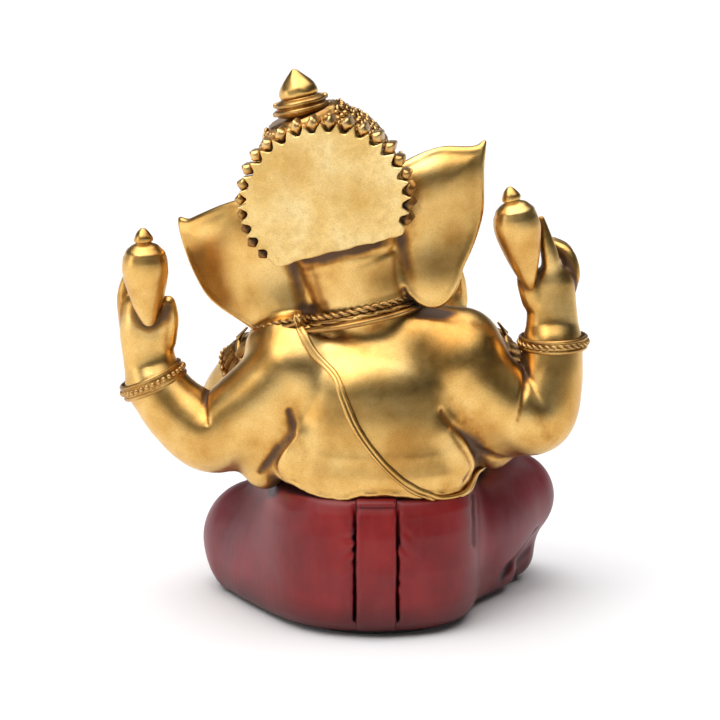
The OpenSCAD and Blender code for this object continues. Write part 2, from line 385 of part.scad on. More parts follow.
module rear_right_arm() color(gold) difference() {
  cast() difference() { rear_right_arm_form(); past(rr_wrist[0], rr_wrist[1], -gap / 2); rear_right_bangle_form(gap); seat_form(gap); collar_form(gap); cord_form(gap); }
  dowel_bore(rear_right_pin); dowel_bore(rr_hand_pin);
}
module front_left_arm() color(gold) difference() {
  cast() difference() { front_left_arm_form(); rear_left_arm_form(gap); past(fl_wrist[0], fl_wrist[1], -gap / 2); front_left_bangle_form(gap); left_armlet_form(gap); collar_form(gap); cord_form(gap); }
  dowel_bore(front_left_pin); dowel_bore(fl_hand_pin);
}
module front_right_arm() color(gold) difference() {
  cast() difference() { front_right_arm_form(); rear_right_arm_form(gap); past(fr_wrist[0], fr_wrist[1], -gap / 2); front_right_bangle_form(gap); right_armlet_form(gap); collar_form(gap); cord_form(gap); }
  dowel_bore(front_right_pin); dowel_bore(fr_hand_pin);
}
module rear_left_hand() color(gold) difference() {
  cast() difference() { rear_left_hand_form(); past(rl_wrist[0], -rl_wrist[1], -gap / 2); rear_left_bangle_form(gap); at_left_conch() conch_form(gap); }
  dowel_bore(rl_hand_pin);
}
module rear_right_hand() color(gold) difference() {
  cast() difference() { rear_right_hand_form(); past(rr_wrist[0], -rr_wrist[1], -gap / 2); rear_right_bangle_form(gap); at_right_conch() conch_form(gap); }
  dowel_bore(rr_hand_pin);
}
module front_left_hand() color(gold) difference() {
  cast() difference() { front_left_hand_form(); past(fl_wrist[0], -fl_wrist[1], -gap / 2); front_left_bangle_form(gap); bowl_form(gap); }
  dowel_bore(fl_hand_pin);
}
module front_right_hand() color(gold) difference() {
  cast() difference() { front_right_hand_form(); past(fr_wrist[0], -fr_wrist[1], -gap / 2); front_right_bangle_form(gap); }
  dowel_bore(fr_hand_pin);
}
module rear_left_bangle() color(deep) rear_left_bangle_form();
module rear_right_bangle() color(deep) rear_right_bangle_form();
module front_left_bangle() color(deep) front_left_bangle_form();
module front_right_bangle() color(deep) front_right_bangle_form();
module left_armlet() color(deep) cast() difference() { left_armlet_form(); rear_left_arm_form(gap); torso_form(gap); }
module right_armlet() color(deep) cast() difference() { right_armlet_form(); rear_right_arm_form(gap); torso_form(gap); }
module left_conch() color(gold) at_left_conch() conch_form();
module right_conch() color(gold) at_right_conch() conch_form();
module sweet_bowl() color(deep) bowl_form();
module sweets() color(gold) sweets_form();
module head() color(gold) difference() {
  cast() difference() {
    head_form();
    trunk_form(gap); ear_form(1, gap); ear_form(-1, gap); plate_form(gap); tusk_form(1, gap); tusk_form(-1, gap); eyes_form(0.05); brow_mark_form(0.05);
    neck_cord_form(gap); collar_form(gap);
    neck_plane() translate([-40, -50, gap / 2 - 60]) cube([80, 100, 60]);
    at_head() translate([-40, -50, 23.5 - gap]) cube([80, 100, 60]);
  }
  dowel_bore([[2, 4, 66], [4.6, 4, 96]]);
  at_head() dowel_bore([[0, -2, 14], [0, -2, 40]]);
}
module trunk() color(gold) cast() difference() { trunk_form(); tusk_form(1, gap); tusk_form(-1, gap); sweets_form(gap); bowl_form(gap); front_left_hand_form(gap); neck_cord_form(gap); collar_form(gap); cord_form(gap); at_head() translate([-40, -50, 23.5 - gap]) cube([80, 100, 60]); }
module left_tusk() color([0.9, 0.86, 0.74]) tusk_form(1);
module right_tusk() color([0.9, 0.86, 0.74]) tusk_form(-1);
module eyes() color([0.1, 0.07, 0.05]) eyes_form();
module brow_mark() color(red) brow_mark_form();
module left_ear() color(gold) cast() difference() { ear_form(1); crown_room(); neck_cord_form(gap); collar_form(gap); rear_left_arm_form(gap); torso_form(gap); }
module right_ear() color(gold) cast() difference() { ear_form(-1); crown_room(); neck_cord_form(gap); collar_form(gap); rear_right_arm_form(gap); torso_form(gap); }
// Space the crown takes up above the brow
module crown_room() at_head() translate([0, -3, 23.4]) cylinder(r = 21.1, h = 40, $fn = 48);
module crown_beads() color(deep) beads_form();
module crown_dome() color(deep) difference() { dome_form(); beads_form(0.06); at_finial() translate([0, 0, -0.05]) cylinder(r = 14, h = 20, $fn = 48); at_head() dowel_bore([[0, -2, 14], [0, -2, 40]]); }
module crown_band() color(gold) difference() { band_form(); jewels_form(0.03); at_head() dowel_bore([[0, -2, 14], [0, -2, 40]]); }
module crown_leaves() color(gold) difference() { leaves_form(); jewels_form(0.03); }
module crown_jewels() color([0.5, 0.05, 0.07]) jewels_form();
module finial_rings() color(deep) finial_ring_form();
module finial_bud() color(gold) finial_bud_form();
module arm_dowels() color(steel) for (p = [rear_left_pin, rear_right_pin, front_left_pin, front_right_pin]) dowel(p);
module hand_dowels() color(steel) for (p = [rl_hand_pin, rr_hand_pin, fl_hand_pin, fr_hand_pin]) dowel(p);
module neck_dowel() color(steel) dowel([[2, 4, 66], [4.6, 4, 96]]);
module crown_dowel() color(steel) at_head() dowel([[0, -2, 14], [0, -2, 40]]);
module seat_dowels() color(steel) {
  for (s = [-1, 1]) dowel([[s * 12, 2, 12], [s * 12, 2, 44]]);
  dowel([[20, -4, 17], [36, -16, 17]]);
  dowel([[-20, -4, 18], [-36, -16, 22]]);
}

felt_pad();
seat();
left_leg();
right_leg();
back_strip();
front_pleat();
left_foot();
right_foot();
left_anklet();
right_anklet();
torso();
body_cord();
neck_cord();
collar();
pendant();
rear_left_arm();
rear_right_arm();
front_left_arm();
front_right_arm();
rear_left_hand();
rear_right_hand();
front_left_hand();
front_right_hand();
rear_left_bangle();
rear_right_bangle();
front_left_bangle();
front_right_bangle();
left_armlet();
right_armlet();
left_conch();
right_conch();
sweet_bowl();
sweets();
head();
trunk();
left_tusk();
right_tusk();
eyes();
brow_mark();
left_ear();
right_ear();
crown_plate();
crown_beads();
crown_dome();
crown_band();
crown_leaves();
crown_jewels();
finial_rings();
finial_bud();
arm_dowels();
hand_dowels();
neck_dowel();
crown_dowel();
seat_dowels();
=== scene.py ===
import math
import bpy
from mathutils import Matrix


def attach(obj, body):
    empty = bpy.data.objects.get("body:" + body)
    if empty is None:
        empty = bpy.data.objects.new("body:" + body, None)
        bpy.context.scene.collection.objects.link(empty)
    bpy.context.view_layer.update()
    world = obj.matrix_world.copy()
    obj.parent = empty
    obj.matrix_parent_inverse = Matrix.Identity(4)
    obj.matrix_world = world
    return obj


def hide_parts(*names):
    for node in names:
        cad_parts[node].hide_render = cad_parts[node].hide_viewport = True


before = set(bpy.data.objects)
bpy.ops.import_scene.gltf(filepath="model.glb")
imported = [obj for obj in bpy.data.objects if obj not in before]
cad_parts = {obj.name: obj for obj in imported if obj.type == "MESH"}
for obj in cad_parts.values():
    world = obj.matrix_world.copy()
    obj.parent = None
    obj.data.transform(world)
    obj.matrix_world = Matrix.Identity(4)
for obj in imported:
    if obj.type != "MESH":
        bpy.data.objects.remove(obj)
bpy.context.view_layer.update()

from concurrent.futures import ThreadPoolExecutor

import bpy
import numpy as np
import openvdb
from mathutils import Vector

# Seated four-armed, elephant-headed figure in gold-painted castings on a red cloth seat.
# Shapes are worked out in millimetres in the part's own frame and written to Blender in metres.

MM = 0.001
F32 = np.float32


# ------------------------------------------------------------------ curves
def A(x):
    return np.asarray(x, dtype=np.float64)


def unit(v):
    v = A(v)
    return v / np.linalg.norm(v)


def spline(P, n):
    P = A(P)
    m = len(P)
    out = []
    for i in range(m - 1):
        a, b, c, d = P[max(i - 1, 0)], P[i], P[i + 1], P[min(i + 2, m - 1)]
        for k in range(n):
            t = k / n
            out.append(0.5 * (2 * b + (c - a) * t + (2 * a - 5 * b + 4 * c - d) * t * t + (3 * b - a - 3 * c + d) * t ** 3))
    out.append(P[-1])
    return np.array(out)


def closed_spline(P, n):
    P = A(P)
    m = len(P)
    out = []
    for i in range(m):
        a, b, c, d = P[i - 1], P[i], P[(i + 1) % m], P[(i + 2) % m]
        for k in range(n):
            t = k / n
            out.append(0.5 * (2 * b + (c - a) * t + (2 * a - 5 * b + 4 * c - d) * t * t + (3 * b - a - 3 * c + d) * t ** 3))
    return np.array(out)


def rx(a):
    c, s = math.cos(math.radians(a)), math.sin(math.radians(a))
    return np.array([[1, 0, 0], [0, c, -s], [0, s, c]])


def ry(a):
    c, s = math.cos(math.radians(a)), math.sin(math.radians(a))
    return np.array([[c, 0, s], [0, 1, 0], [-s, 0, c]])


def rz(a):
    c, s = math.cos(math.radians(a)), math.sin(math.radians(a))
    return np.array([[c, -s, 0], [s, c, 0], [0, 0, 1]])


def euler(r):
    return rz(r[2]) @ ry(r[1]) @ rx(r[0])


def toward(axis):
    """The turn that takes +Z to axis, about the same lines as the part's own rings use."""
    a = unit(axis)
    return rz(math.degrees(math.atan2(a[1], a[0]))) @ ry(math.degrees(math.acos(a[2])))


PIVOT = A([3.5, 5, 92])
HEAD = ry(15) @ rz(-10)


def head_pt(p):
    return A(p) @ HEAD.T + PIVOT


def head_limb(P):
    P = A(P)
    return np.hstack([head_pt(P[:, :3]), P[:, 3:]])


def hash3(i, seed):
    """Repeatable numbers from 0 to 1, the same on every run."""
    x = np.sin(i * 12.9898 + seed * 78.233) * 43758.5453
    return x - np.floor(x)


def noise3(P, scale, seed=0):
    """Smooth value noise, -1 to 1, by trilinear blending of hashed lattice values."""
    Q = P / scale
    i = np.floor(Q).astype(np.int64)
    f = Q - i
    f = f * f * (3 - 2 * f)
    tot = 0
    for dx in (0, 1):
        for dy in (0, 1):
            for dz in (0, 1):
                k = (i[:, 0] + dx) * 73856093 ^ (i[:, 1] + dy) * 19349663 ^ (i[:, 2] + dz) * 83492791 ^ (seed * 2654435761)
                k = (k ^ (k >> 13)) * 1274126177 & 0xFFFFFFFF
                v = ((k ^ (k >> 16)) & 0xFFFF) / 32767.5 - 1
                w = (f[:, 0] if dx else 1 - f[:, 0]) * (f[:, 1] if dy else 1 - f[:, 1]) * (f[:, 2] if dz else 1 - f[:, 2])
                tot = tot + v * w
    return tot


# ------------------------------------------------------------------ solid shapes as distance fields
def smin(a, b, k):
    if k <= 0:
        return np.minimum(a, b)
    h = np.maximum(k - np.abs(a - b), 0) / k
    return np.minimum(a, b) - h * h * (k * 0.25)


def smax(a, b, k):
    return -smin(-a, -b, k)


class Limb:
    """Round cones along a smooth line of [x, y, z, radius]; flat squeezes it along one axis."""

    def __init__(s, P, n=4, flat=None):
        C = spline(P, n) if n > 0 else A(P)
        if flat is not None:
            ax, c, k = flat
            C = C.copy()
            C[:, ax] = (C[:, ax] - c) / k + c
        s.flat = flat
        s.a = C[:-1, :3].astype(F32)
        s.b = C[1:, :3].astype(F32)
        s.ra = C[:-1, 3].astype(F32)
        s.rb = C[1:, 3].astype(F32)
        s.u = s.b - s.a
        s.L2 = np.maximum((s.u ** 2).sum(1), 1e-6).astype(F32)

    def f(s, P):
        if s.flat is not None:
            ax, c, k = s.flat
            P = P.copy()
            P[:, ax] = (P[:, ax] - c) / k + c
        m = P.mean(0)
        R = float(np.sqrt(((P - m) ** 2).sum(1).max()))
        t = np.clip(((m - s.a) * s.u).sum(1) / s.L2, 0, 1)
        near = np.sqrt((((m - s.a) - t[:, None] * s.u) ** 2).sum(1)) - np.maximum(s.ra, s.rb)
        keep = np.nonzero(near <= near.min() + 2 * R + np.abs(s.ra - s.rb).max())[0]
        d = None
        for i in keep:
            v = P - s.a[i]
            t = np.clip((v @ s.u[i]) / s.L2[i], 0, 1)
            w = v - t[:, None] * s.u[i]
            e = np.sqrt(np.einsum("ij,ij->i", w, w)) - (s.ra[i] + t * (s.rb[i] - s.ra[i]))
            d = e if d is None else np.minimum(d, e)
        return d * (s.flat[2] if s.flat is not None else 1)


class Blob:
    """An ellipsoid, turned by rot about its own centre."""

    def __init__(s, c, r, rot=None):
        s.c = A(c).astype(F32)
        s.r = A(r).astype(F32)
        s.M = None if rot is None else (euler(rot) if not isinstance(rot, np.ndarray) else rot).astype(F32)

    def f(s, P):
        q = P - s.c
        if s.M is not None:
            q = q @ s.M
        a = q / s.r
        k0 = np.sqrt(np.einsum("ij,ij->i", a, a))
        b = a / s.r
        k1 = np.sqrt(np.einsum("ij,ij->i", b, b)) + 1e-6
        return k0 * (k0 - 1) / k1


class Fn:
    def __init__(s, fn):
        s.fn = fn

    def f(s, P):
        return s.fn(P)


class Local:
    """A shape that is given in the head's own frame."""

    def __init__(s, prim, M=HEAD, t=PIVOT):
        s.p, s.M, s.t = prim, M.astype(F32), A(t).astype(F32)

    def f(s, P):
        return s.p.f(((P - s.t) @ s.M).astype(F32))


class Sheet:
    """A curved plate with a round edge inside an outline drawn in the x-z plane: side, outline, mid surface and half thickness."""

    def __init__(s, side, outline, mid, half, edge):
        s.side, s.mid, s.half, s.edge = side, mid, half, edge
        O = closed_spline(outline, 4)
        s.lo = O.min(0) - 9
        s.step = 0.3
        n = np.ceil((O.max(0) + 9 - s.lo) / s.step).astype(int) + 1
        g = np.stack(np.meshgrid(s.lo[0] + np.arange(n[0]) * s.step, s.lo[1] + np.arange(n[1]) * s.step, indexing="ij"), -1).reshape(-1, 2)
        a, b = O, np.roll(O, -1, 0)
        best = np.full(len(g), 1e9)
        inside = np.zeros(len(g), bool)
        for p, q in zip(a, b):
            e = q - p
            v = g - p
            t = np.clip(v @ e / (e @ e), 0, 1)
            best = np.minimum(best, ((v - t[:, None] * e) ** 2).sum(1))
            cross = (p[1] > g[:, 1]) != (q[1] > g[:, 1])
            with np.errstate(divide="ignore", invalid="ignore"):
                x = (q[0] - p[0]) * (g[:, 1] - p[1]) / (q[1] - p[1] + 1e-12) + p[0]
            inside ^= cross & (g[:, 0] < x)
        s.grid = (np.sqrt(best) * np.where(inside, -1, 1)).reshape(n).astype(F32)
        s.n = n

    def edge_distance(s, x, z):
        u = np.clip((x - s.lo[0]) / s.step, 0, s.n[0] - 1.001)
        v = np.clip((z - s.lo[1]) / s.step, 0, s.n[1] - 1.001)
        i, j = u.astype(int), v.astype(int)
        u, v = (u - i).astype(F32), (v - j).astype(F32)
        G = s.grid
        d = (G[i, j] * (1 - u) + G[i + 1, j] * u) * (1 - v) + (G[i, j + 1] * (1 - u) + G[i + 1, j + 1] * u) * v
        over = np.hypot(np.maximum(s.lo[0] - x, 0) + np.maximum(x - s.lo[0] - (s.n[0] - 1) * s.step, 0),
                        np.maximum(s.lo[1] - z, 0) + np.maximum(z - s.lo[1] - (s.n[1] - 1) * s.step, 0))
        return d + over

    def f(s, P):
        x, y, z = P[:, 0] * s.side, P[:, 1], P[:, 2]
        d = s.edge_distance(x, z)
        h = s.half(x, z, -d)
        e = s.edge
        w0 = np.maximum(d + e, 0)
        dy = np.abs(y - s.mid(x, z)) - (h - e)
        w1 = np.maximum(dy, 0)
        return np.sqrt(w0 * w0 + w1 * w1) - e + np.minimum(np.maximum(d + e, dy), 0)


class Field:
    """Shapes that are joined in order, each with its own blend width, or cut away; each added shape carries a piece's name."""

    def __init__(s):
        s.ops = []

    def add(s, name, prim, k=1.0):
        s.ops.append(("add", name, prim, k))
        return s

    def cut(s, prim, k=0.6):
        s.ops.append(("cut", None, prim, k))
        return s

    def warp(s, fn):
        s.ops.append(("warp", None, fn, 0))
        return s

    def f(s, P, use=None):
        d = None
        for i, (op, _, prim, k) in enumerate(s.ops):
            if op != "warp" and use is not None and not use[i]:
                continue
            if op == "add":
                e = prim.f(P)
                d = e if d is None else smin(d, e, k)
            elif d is not None:
                if op == "cut":
                    d = smax(d, -prim.f(P), k)
                else:
                    d = d + prim(P, d)
        return np.full(len(P), 50, F32) if d is None else d

    def parts(s, P):
        """For each point, the distance to every shape; a warp gives 99."""
        return np.stack([np.full(len(P), 99, F32) if op == "warp" else prim.f(P) for op, _, prim, _ in s.ops], 0)

    def owner(s, P, names):
        """Which named piece each point belongs to."""
        best = np.full(len(P), 1e9, F32)
        who = np.zeros(len(P), np.int32)
        order = np.argsort(P[:, 2], kind="stable")
        chunks = np.array_split(order, max(1, len(P) // 4000))

        def job(ix):
            Q = P[ix]
            b = np.full(len(ix), 1e9, F32)
            w = np.zeros(len(ix), np.int32)
            for op, name, prim, k in s.ops:
                if op != "add":
                    continue
                d = prim.f(Q)
                m = d < b
                b[m] = d[m]
                w[m] = names.index(name)
            return ix, b, w
        with ThreadPoolExecutor(4) as ex:
            for ix, b, w in ex.map(job, chunks):
                best[ix], who[ix] = b, w
        return who


def mesh_field(field, lo, hi, h, blur=1, floor_z=None):
    """A closed quad mesh of the field's zero surface, on a grid of pitch h, with blocks far from the surface skipped."""
    lo, hi = A(lo), A(hi)
    B = 20
    nb = np.ceil((hi - lo) / (h * B)).astype(int)
    dims = nb * B
    grid = np.full(dims, 9.0, F32)
    idx = np.stack(np.meshgrid(*[np.arange(n) for n in nb], indexing="ij"), -1).reshape(-1, 3)
    centre = (lo + (idx * B + (B - 1) / 2) * h).astype(F32)
    half = B * h * math.sqrt(3) / 2
    parts = np.empty((len(field.ops), len(centre)), F32)

    def pj(i):
        op, _, prim, _ = field.ops[i]
        parts[i] = 99 if op == "warp" else prim.f(centre)
    with ThreadPoolExecutor(4) as ex:
        list(ex.map(pj, range(len(field.ops))))
    d0 = field.f(centre)
    ax = np.arange(B) * h
    cell = np.stack(np.meshgrid(ax, ax, ax, indexing="ij"), -1).reshape(-1, 3)
    reach = 1.35 * half + 2.5
    near = np.abs(d0) < reach

    def job(k):
        i = idx[k]
        P = (lo + i * B * h + cell).astype(F32)
        use = parts[:, k] < half * 1.25 + 7
        v = field.f(P, use)
        if floor_z is not None:
            v = np.maximum(v, floor_z - P[:, 2])
        return k, v.reshape(B, B, B)
    for k in np.nonzero(~near)[0]:
        i = idx[k] * B
        v = d0[k]
        if floor_z is not None:
            v = max(v, floor_z - centre[k][2])
        grid[i[0]:i[0] + B, i[1]:i[1] + B, i[2]:i[2] + B] = v
    with ThreadPoolExecutor(4) as ex:
        for k, v in ex.map(job, np.nonzero(near)[0]):
            i = idx[k] * B
            grid[i[0]:i[0] + B, i[1]:i[1] + B, i[2]:i[2] + B] = v
    cap = 3 * h
    np.clip(grid, -cap, cap, out=grid)
    for _ in range(blur):
        for axis in range(3):
            s0 = [slice(None)] * 3
            s1 = [slice(None)] * 3
            s2 = [slice(None)] * 3
            s0[axis], s1[axis], s2[axis] = slice(0, -2), slice(1, -1), slice(2, None)
            t = grid[tuple(s0)] * 0.25 + grid[tuple(s1)] * 0.5 + grid[tuple(s2)] * 0.25
            grid[tuple(s1)] = t
    vg = openvdb.FloatGrid()
    vg.background = float(cap)
    vg.copyFromArray(grid)
    pts, quads = vg.convertToQuads(isovalue=0.0)
    return pts.astype(np.float64) * h + lo, quads.astype(np.int64)


def relax(V, Q, rounds=3):
    """Taubin smoothing: takes out grid steps and keeps the size."""
    e = np.concatenate([Q[:, [0, 1]], Q[:, [1, 2]], Q[:, [2, 3]], Q[:, [3, 0]]])
    e = np.concatenate([e, e[:, ::-1]])
    n = np.maximum(np.bincount(e[:, 0], minlength=len(V)), 1)[:, None]
    for r in range(rounds):
        for lam in (0.55, -0.56):
            S = np.stack([np.bincount(e[:, 0], V[e[:, 1], k], minlength=len(V)) for k in range(3)], 1)
            V = V + lam * (S / n - V)
    return V


def vertex_normals(V, Q):
    a = V[Q[:, 2]] - V[Q[:, 0]]
    b = V[Q[:, 3 if Q.shape[1] == 4 else 1]] - V[Q[:, 1 if Q.shape[1] == 4 else 0]]
    n = np.cross(a, b) if Q.shape[1] == 4 else np.cross(V[Q[:, 1]] - V[Q[:, 0]], V[Q[:, 2]] - V[Q[:, 0]])
    N = np.zeros_like(V)
    for k in range(Q.shape[1]):
        for c in range(3):
            N[:, c] += np.bincount(Q[:, k], n[:, c], minlength=len(V))
    return N / np.maximum(np.linalg.norm(N, axis=1, keepdims=True), 1e-12)


def hollow(V, Q, N, rounds=2):
    """How sharply the surface turns inward at each vertex: above 0 in a crease, below 0 on an edge."""
    e = np.concatenate([Q[:, [0, 1]], Q[:, [1, 2]], Q[:, [2, 3]], Q[:, [3, 0]]])
    e = np.concatenate([e, e[:, ::-1]])
    n = np.maximum(np.bincount(e[:, 0], minlength=len(V)), 1)
    S = np.stack([np.bincount(e[:, 0], V[e[:, 1], k], minlength=len(V)) for k in range(3)], 1) / n[:, None]
    L = np.bincount(e[:, 0], np.linalg.norm(V[e[:, 1]] - V[e[:, 0]], axis=1), minlength=len(V)) / n
    c = ((S - V) * N).sum(1) / np.maximum(L, 1e-6) ** 2
    for _ in range(rounds):
        c = 0.4 * c + 0.6 * np.bincount(e[:, 0], c[e[:, 1]], minlength=len(V)) / n
    return c


def components(n, pairs):
    lab = np.arange(n)
    while True:
        m = np.minimum(lab[pairs[:, 0]], lab[pairs[:, 1]])
        new = lab.copy()
        np.minimum.at(new, pairs[:, 0], m)
        np.minimum.at(new, pairs[:, 1], m)
        new = new[new]
        new = new[new]
        if (new == lab).all():
            return lab
        lab = new


def face_pairs(Q):
    n = len(Q)
    e = np.concatenate([Q[:, [0, 1]], Q[:, [1, 2]], Q[:, [2, 3]], Q[:, [3, 0]]])
    f = np.tile(np.arange(n), 4)
    key = np.minimum(e[:, 0], e[:, 1]) * (e.max() + 1) + np.maximum(e[:, 0], e[:, 1])
    o = np.argsort(key, kind="stable")
    k, f = key[o], f[o]
    same = np.nonzero(k[1:] == k[:-1])[0]
    return np.stack([f[same], f[same + 1]], 1)


def tidy_owner(Q, who, count):
    """Gives each small island of a piece to the piece around it."""
    pairs = face_pairs(Q)
    for _ in range(3):
        same = who[pairs[:, 0]] == who[pairs[:, 1]]
        comp = components(len(Q), pairs[same])
        size = np.bincount(comp, minlength=len(Q))
        keep = np.zeros(len(Q), bool)
        for p in range(count):
            m = who == p
            if m.any():
                keep[comp == np.bincount(comp[m], minlength=len(Q)).argmax()] = True
        bad = ~keep
        if not bad.any():
            break
        for _ in range(60):
            m = bad[pairs[:, 0]] & ~bad[pairs[:, 1]]
            q = bad[pairs[:, 1]] & ~bad[pairs[:, 0]]
            if not m.any() and not q.any():
                break
            who[pairs[m, 0]] = who[pairs[m, 1]]
            bad[pairs[m, 0]] = False
            who[pairs[q, 1]] = who[pairs[q, 0]]
            bad[pairs[q, 1]] = False
    # straighten the line between two pieces
    for _ in range(4):
        votes = np.zeros((len(Q), count), np.int16)
        np.add.at(votes, (pairs[:, 0], who[pairs[:, 1]]), 1)
        np.add.at(votes, (pairs[:, 1], who[pairs[:, 0]]), 1)
        top = votes.argmax(1)
        change = votes[np.arange(len(Q)), top] >= 3
        who = np.where(change, top, who)
    return who


# ------------------------------------------------------------------ Blender objects
MATS = {}


def obj_from(name, V, faces, slot, replaces=None, normals=None, wash_and_painted_light=None, sharp=None, tris=None):
    """A mesh object in metres from points in millimetres; its colour attribute is [brown antiquing with painted shade,
    edge wear with painted highlight, free] at each point.
    """
    me = bpy.data.meshes.new(name)
    V = np.asarray(V, np.float64) * MM
    if isinstance(faces, np.ndarray):
        k = faces.shape[1]
        loops = faces.reshape(-1)
        starts = np.arange(len(faces)) * k
        totals = np.full(len(faces), k)
        if tris is not None and len(tris):
            loops = np.concatenate([loops, tris.reshape(-1)])
            starts = np.concatenate([starts, len(faces) * k + np.arange(len(tris)) * 3])
            totals = np.concatenate([totals, np.full(len(tris), 3)])
        me.vertices.add(len(V))
        me.vertices.foreach_set("co", V.astype(F32).ravel())
        me.loops.add(len(loops))
        me.loops.foreach_set("vertex_index", loops.astype(np.int32))
        me.polygons.add(len(starts))
        me.polygons.foreach_set("loop_start", starts.astype(np.int32))
        me.polygons.foreach_set("loop_total", totals.astype(np.int32))
    else:
        me.from_pydata([tuple(v) for v in V], [], [tuple(int(i) for i in f) for f in faces])
    me.update(calc_edges=True)
    me.validate(clean_customdata=False)
    me.polygons.foreach_set("use_smooth", np.ones(len(me.polygons), bool))
    # colour attribute: brown antiquing with painted shade in hollows, edge wear with painted highlight on edges
    at = me.attributes.new("wash_and_painted_light", "FLOAT_COLOR", "POINT")
    col = np.zeros((len(me.vertices), 4), F32)
    col[:, 3] = 1
    if wash_and_painted_light is not None and len(wash_and_painted_light) == len(me.vertices):
        col[:, :wash_and_painted_light.shape[1]] = wash_and_painted_light
    at.data.foreach_set("color", col.ravel())
    if sharp is not None:
        me.set_sharp_from_angle(angle=math.radians(sharp))
    if normals is not None and len(normals) == len(me.vertices):
        me.normals_split_custom_set_from_vertices([tuple(n) for n in normals])
    me.materials.append(MATS[slot])
    ob = bpy.data.objects.new(name, me)
    bpy.context.scene.collection.objects.link(ob)
    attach(ob, "root")
    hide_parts(replaces or name)
    return ob


def merged(parts):
    """Several (points, faces) lists as one."""
    V, F = [], []
    n = 0
    for v, f in parts:
        V.append(A(v))
        F += [tuple(i + n for i in q) for q in f]
        n += len(v)
    return np.concatenate(V), F


def lathe(profile, n, wave=None, M=None, t=(0, 0, 0)):
    """Turns a [radius, height] profile about Z. The first and last points are on the axis. wave(angle, height, radius) scales the radius."""
    P = A(profile)
    th = np.arange(n) * 2 * math.pi / n
    V = [[0, 0, P[0][1]]]
    rows = []
    for r, z in P[1:-1]:
        rows.append(len(V))
        k = np.ones(n) if wave is None else wave(th, z, r)
        V += [[r * k[i] * math.cos(a), r * k[i] * math.sin(a), z] for i, a in enumerate(th)]
    V.append([0, 0, P[-1][1]])
    F = []
    for i in range(n):
        j = (i + 1) % n
        F.append((0, rows[0] + j, rows[0] + i))
        for a, b in zip(rows[:-1], rows[1:]):
            F.append((a + i, a + j, b + j, b + i))
        F.append((len(V) - 1, rows[-1] + i, rows[-1] + j))
    V = A(V)
    if M is not None:
        V = V @ M.T
    return V + A(t), F


def sweep(path, section, closed=False, ref=None, n=16, up=None):
    """A tube along path. section(i, s, angles) gives [sideways, out] offsets; up(i) gives the outward direction at each point."""
    C = A(path)
    m = len(C)
    if closed:
        T = np.roll(C, -1, 0) - np.roll(C, 1, 0)
    else:
        T = np.gradient(C, axis=0)
    T /= np.linalg.norm(T, axis=1, keepdims=True)
    s = np.concatenate([[0], np.cumsum(np.linalg.norm(np.diff(C, axis=0), axis=1))])
    th = np.arange(n) * 2 * math.pi / n
    V = []
    for i in range(m):
        o = A(up(i) if up is not None else ref)
        a = unit(np.cross(T[i], o))
        b = np.cross(a, T[i])
        x, y = section(i, s[i], th)
        V.append(C[i] + x[:, None] * a + y[:, None] * b)
    F = []
    for i in range(m if closed else m - 1):
        r0, r1 = i * n, ((i + 1) % m) * n
        for k in range(n):
            l = (k + 1) % n
            F.append((r0 + k, r1 + k, r1 + l, r0 + l))
    V = np.concatenate(V)
    if not closed:
        V = np.concatenate([V, [C[0]], [C[-1]]])
        for k in range(n):
            l = (k + 1) % n
            F.append((len(V) - 2, k, l))
            F.append((len(V) - 1, (m - 1) * n + l, (m - 1) * n + k))
    return V, F


def strands(R, k, pitch, wide=1.0, tall=1.0, phase=0.0, deep=0.55):
    """The outline of k strands twisted together, for a cord or a braided ring."""
    def sec(i, s, th):
        turn = phase + 2 * math.pi * s / pitch
        q = 2 * math.pi / k
        f = (th + turn + q / 2) % q - q / 2
        a = R * deep
        b = R - a
        r = a * np.cos(f) + np.sqrt(np.maximum(b * b - (a * np.sin(f)) ** 2, (0.25 * R) ** 2))
        return r * np.cos(th) * wide, r * np.sin(th) * tall
    return sec


def ball(c, r, M=None, n=10, m=6):
    prof = [[0, -1]] + [[math.cos(a), math.sin(a)] for a in np.linspace(-math.pi / 2, math.pi / 2, m + 2)[1:-1]] + [[0, 1]]
    V, F = lathe(prof, n)
    V = V * A(r)
    if M is not None:
        V = V @ M.T
    return V + A(c), F


def outward(V, F):
    """Turns all the faces over if the closed shape is inside out."""
    vol = 0.0
    for f in F:
        a = V[f[0]]
        for i in range(1, len(f) - 1):
            vol += np.dot(a, np.cross(V[f[i]], V[f[i + 1]]))
    return F if vol > 0 else [tuple(reversed(f)) for f in F]


# ------------------------------------------------------------------ materials
def nodes_for(name):
    m = bpy.data.materials.new(name)
    m.use_nodes = True
    nt = m.node_tree
    nt.nodes.clear()
    out = nt.nodes.new("ShaderNodeOutputMaterial")
    b = nt.nodes.new("ShaderNodeBsdfPrincipled")
    nt.links.new(b.outputs[0], out.inputs[0])
    MATS[name] = m
    return nt, b


def N(nt, kind, **kw):
    n = nt.nodes.new("ShaderNode" + kind)
    for k, v in kw.items():
        if k.startswith("i_"):
            key = k[2:]
            n.inputs[int(key) if key.isdigit() else key.replace("_", " ")].default_value = v
        else:
            setattr(n, k, v)
    return n


def link(nt, a, b):
    nt.links.new(a, b)


def grain(nt, scale, detail=3, rough=0.55, co=None):
    n = N(nt, "TexNoise")
    n.inputs["Scale"].default_value = scale
    n.inputs["Detail"].default_value = detail
    n.inputs["Roughness"].default_value = rough
    if co is not None:
        link(nt, co, n.inputs["Vector"])
    return n.outputs[0]


def ramp(nt, fac, stops):
    r = N(nt, "ValToRGB")
    e = r.color_ramp.elements
    while len(e) < len(stops):
        e.new(0.5)
    for i, (p, c) in enumerate(stops):
        e[i].position = p
        e[i].color = (*c, 1) if len(c) == 3 else c
    link(nt, fac, r.inputs[0])
    return r.outputs[0]


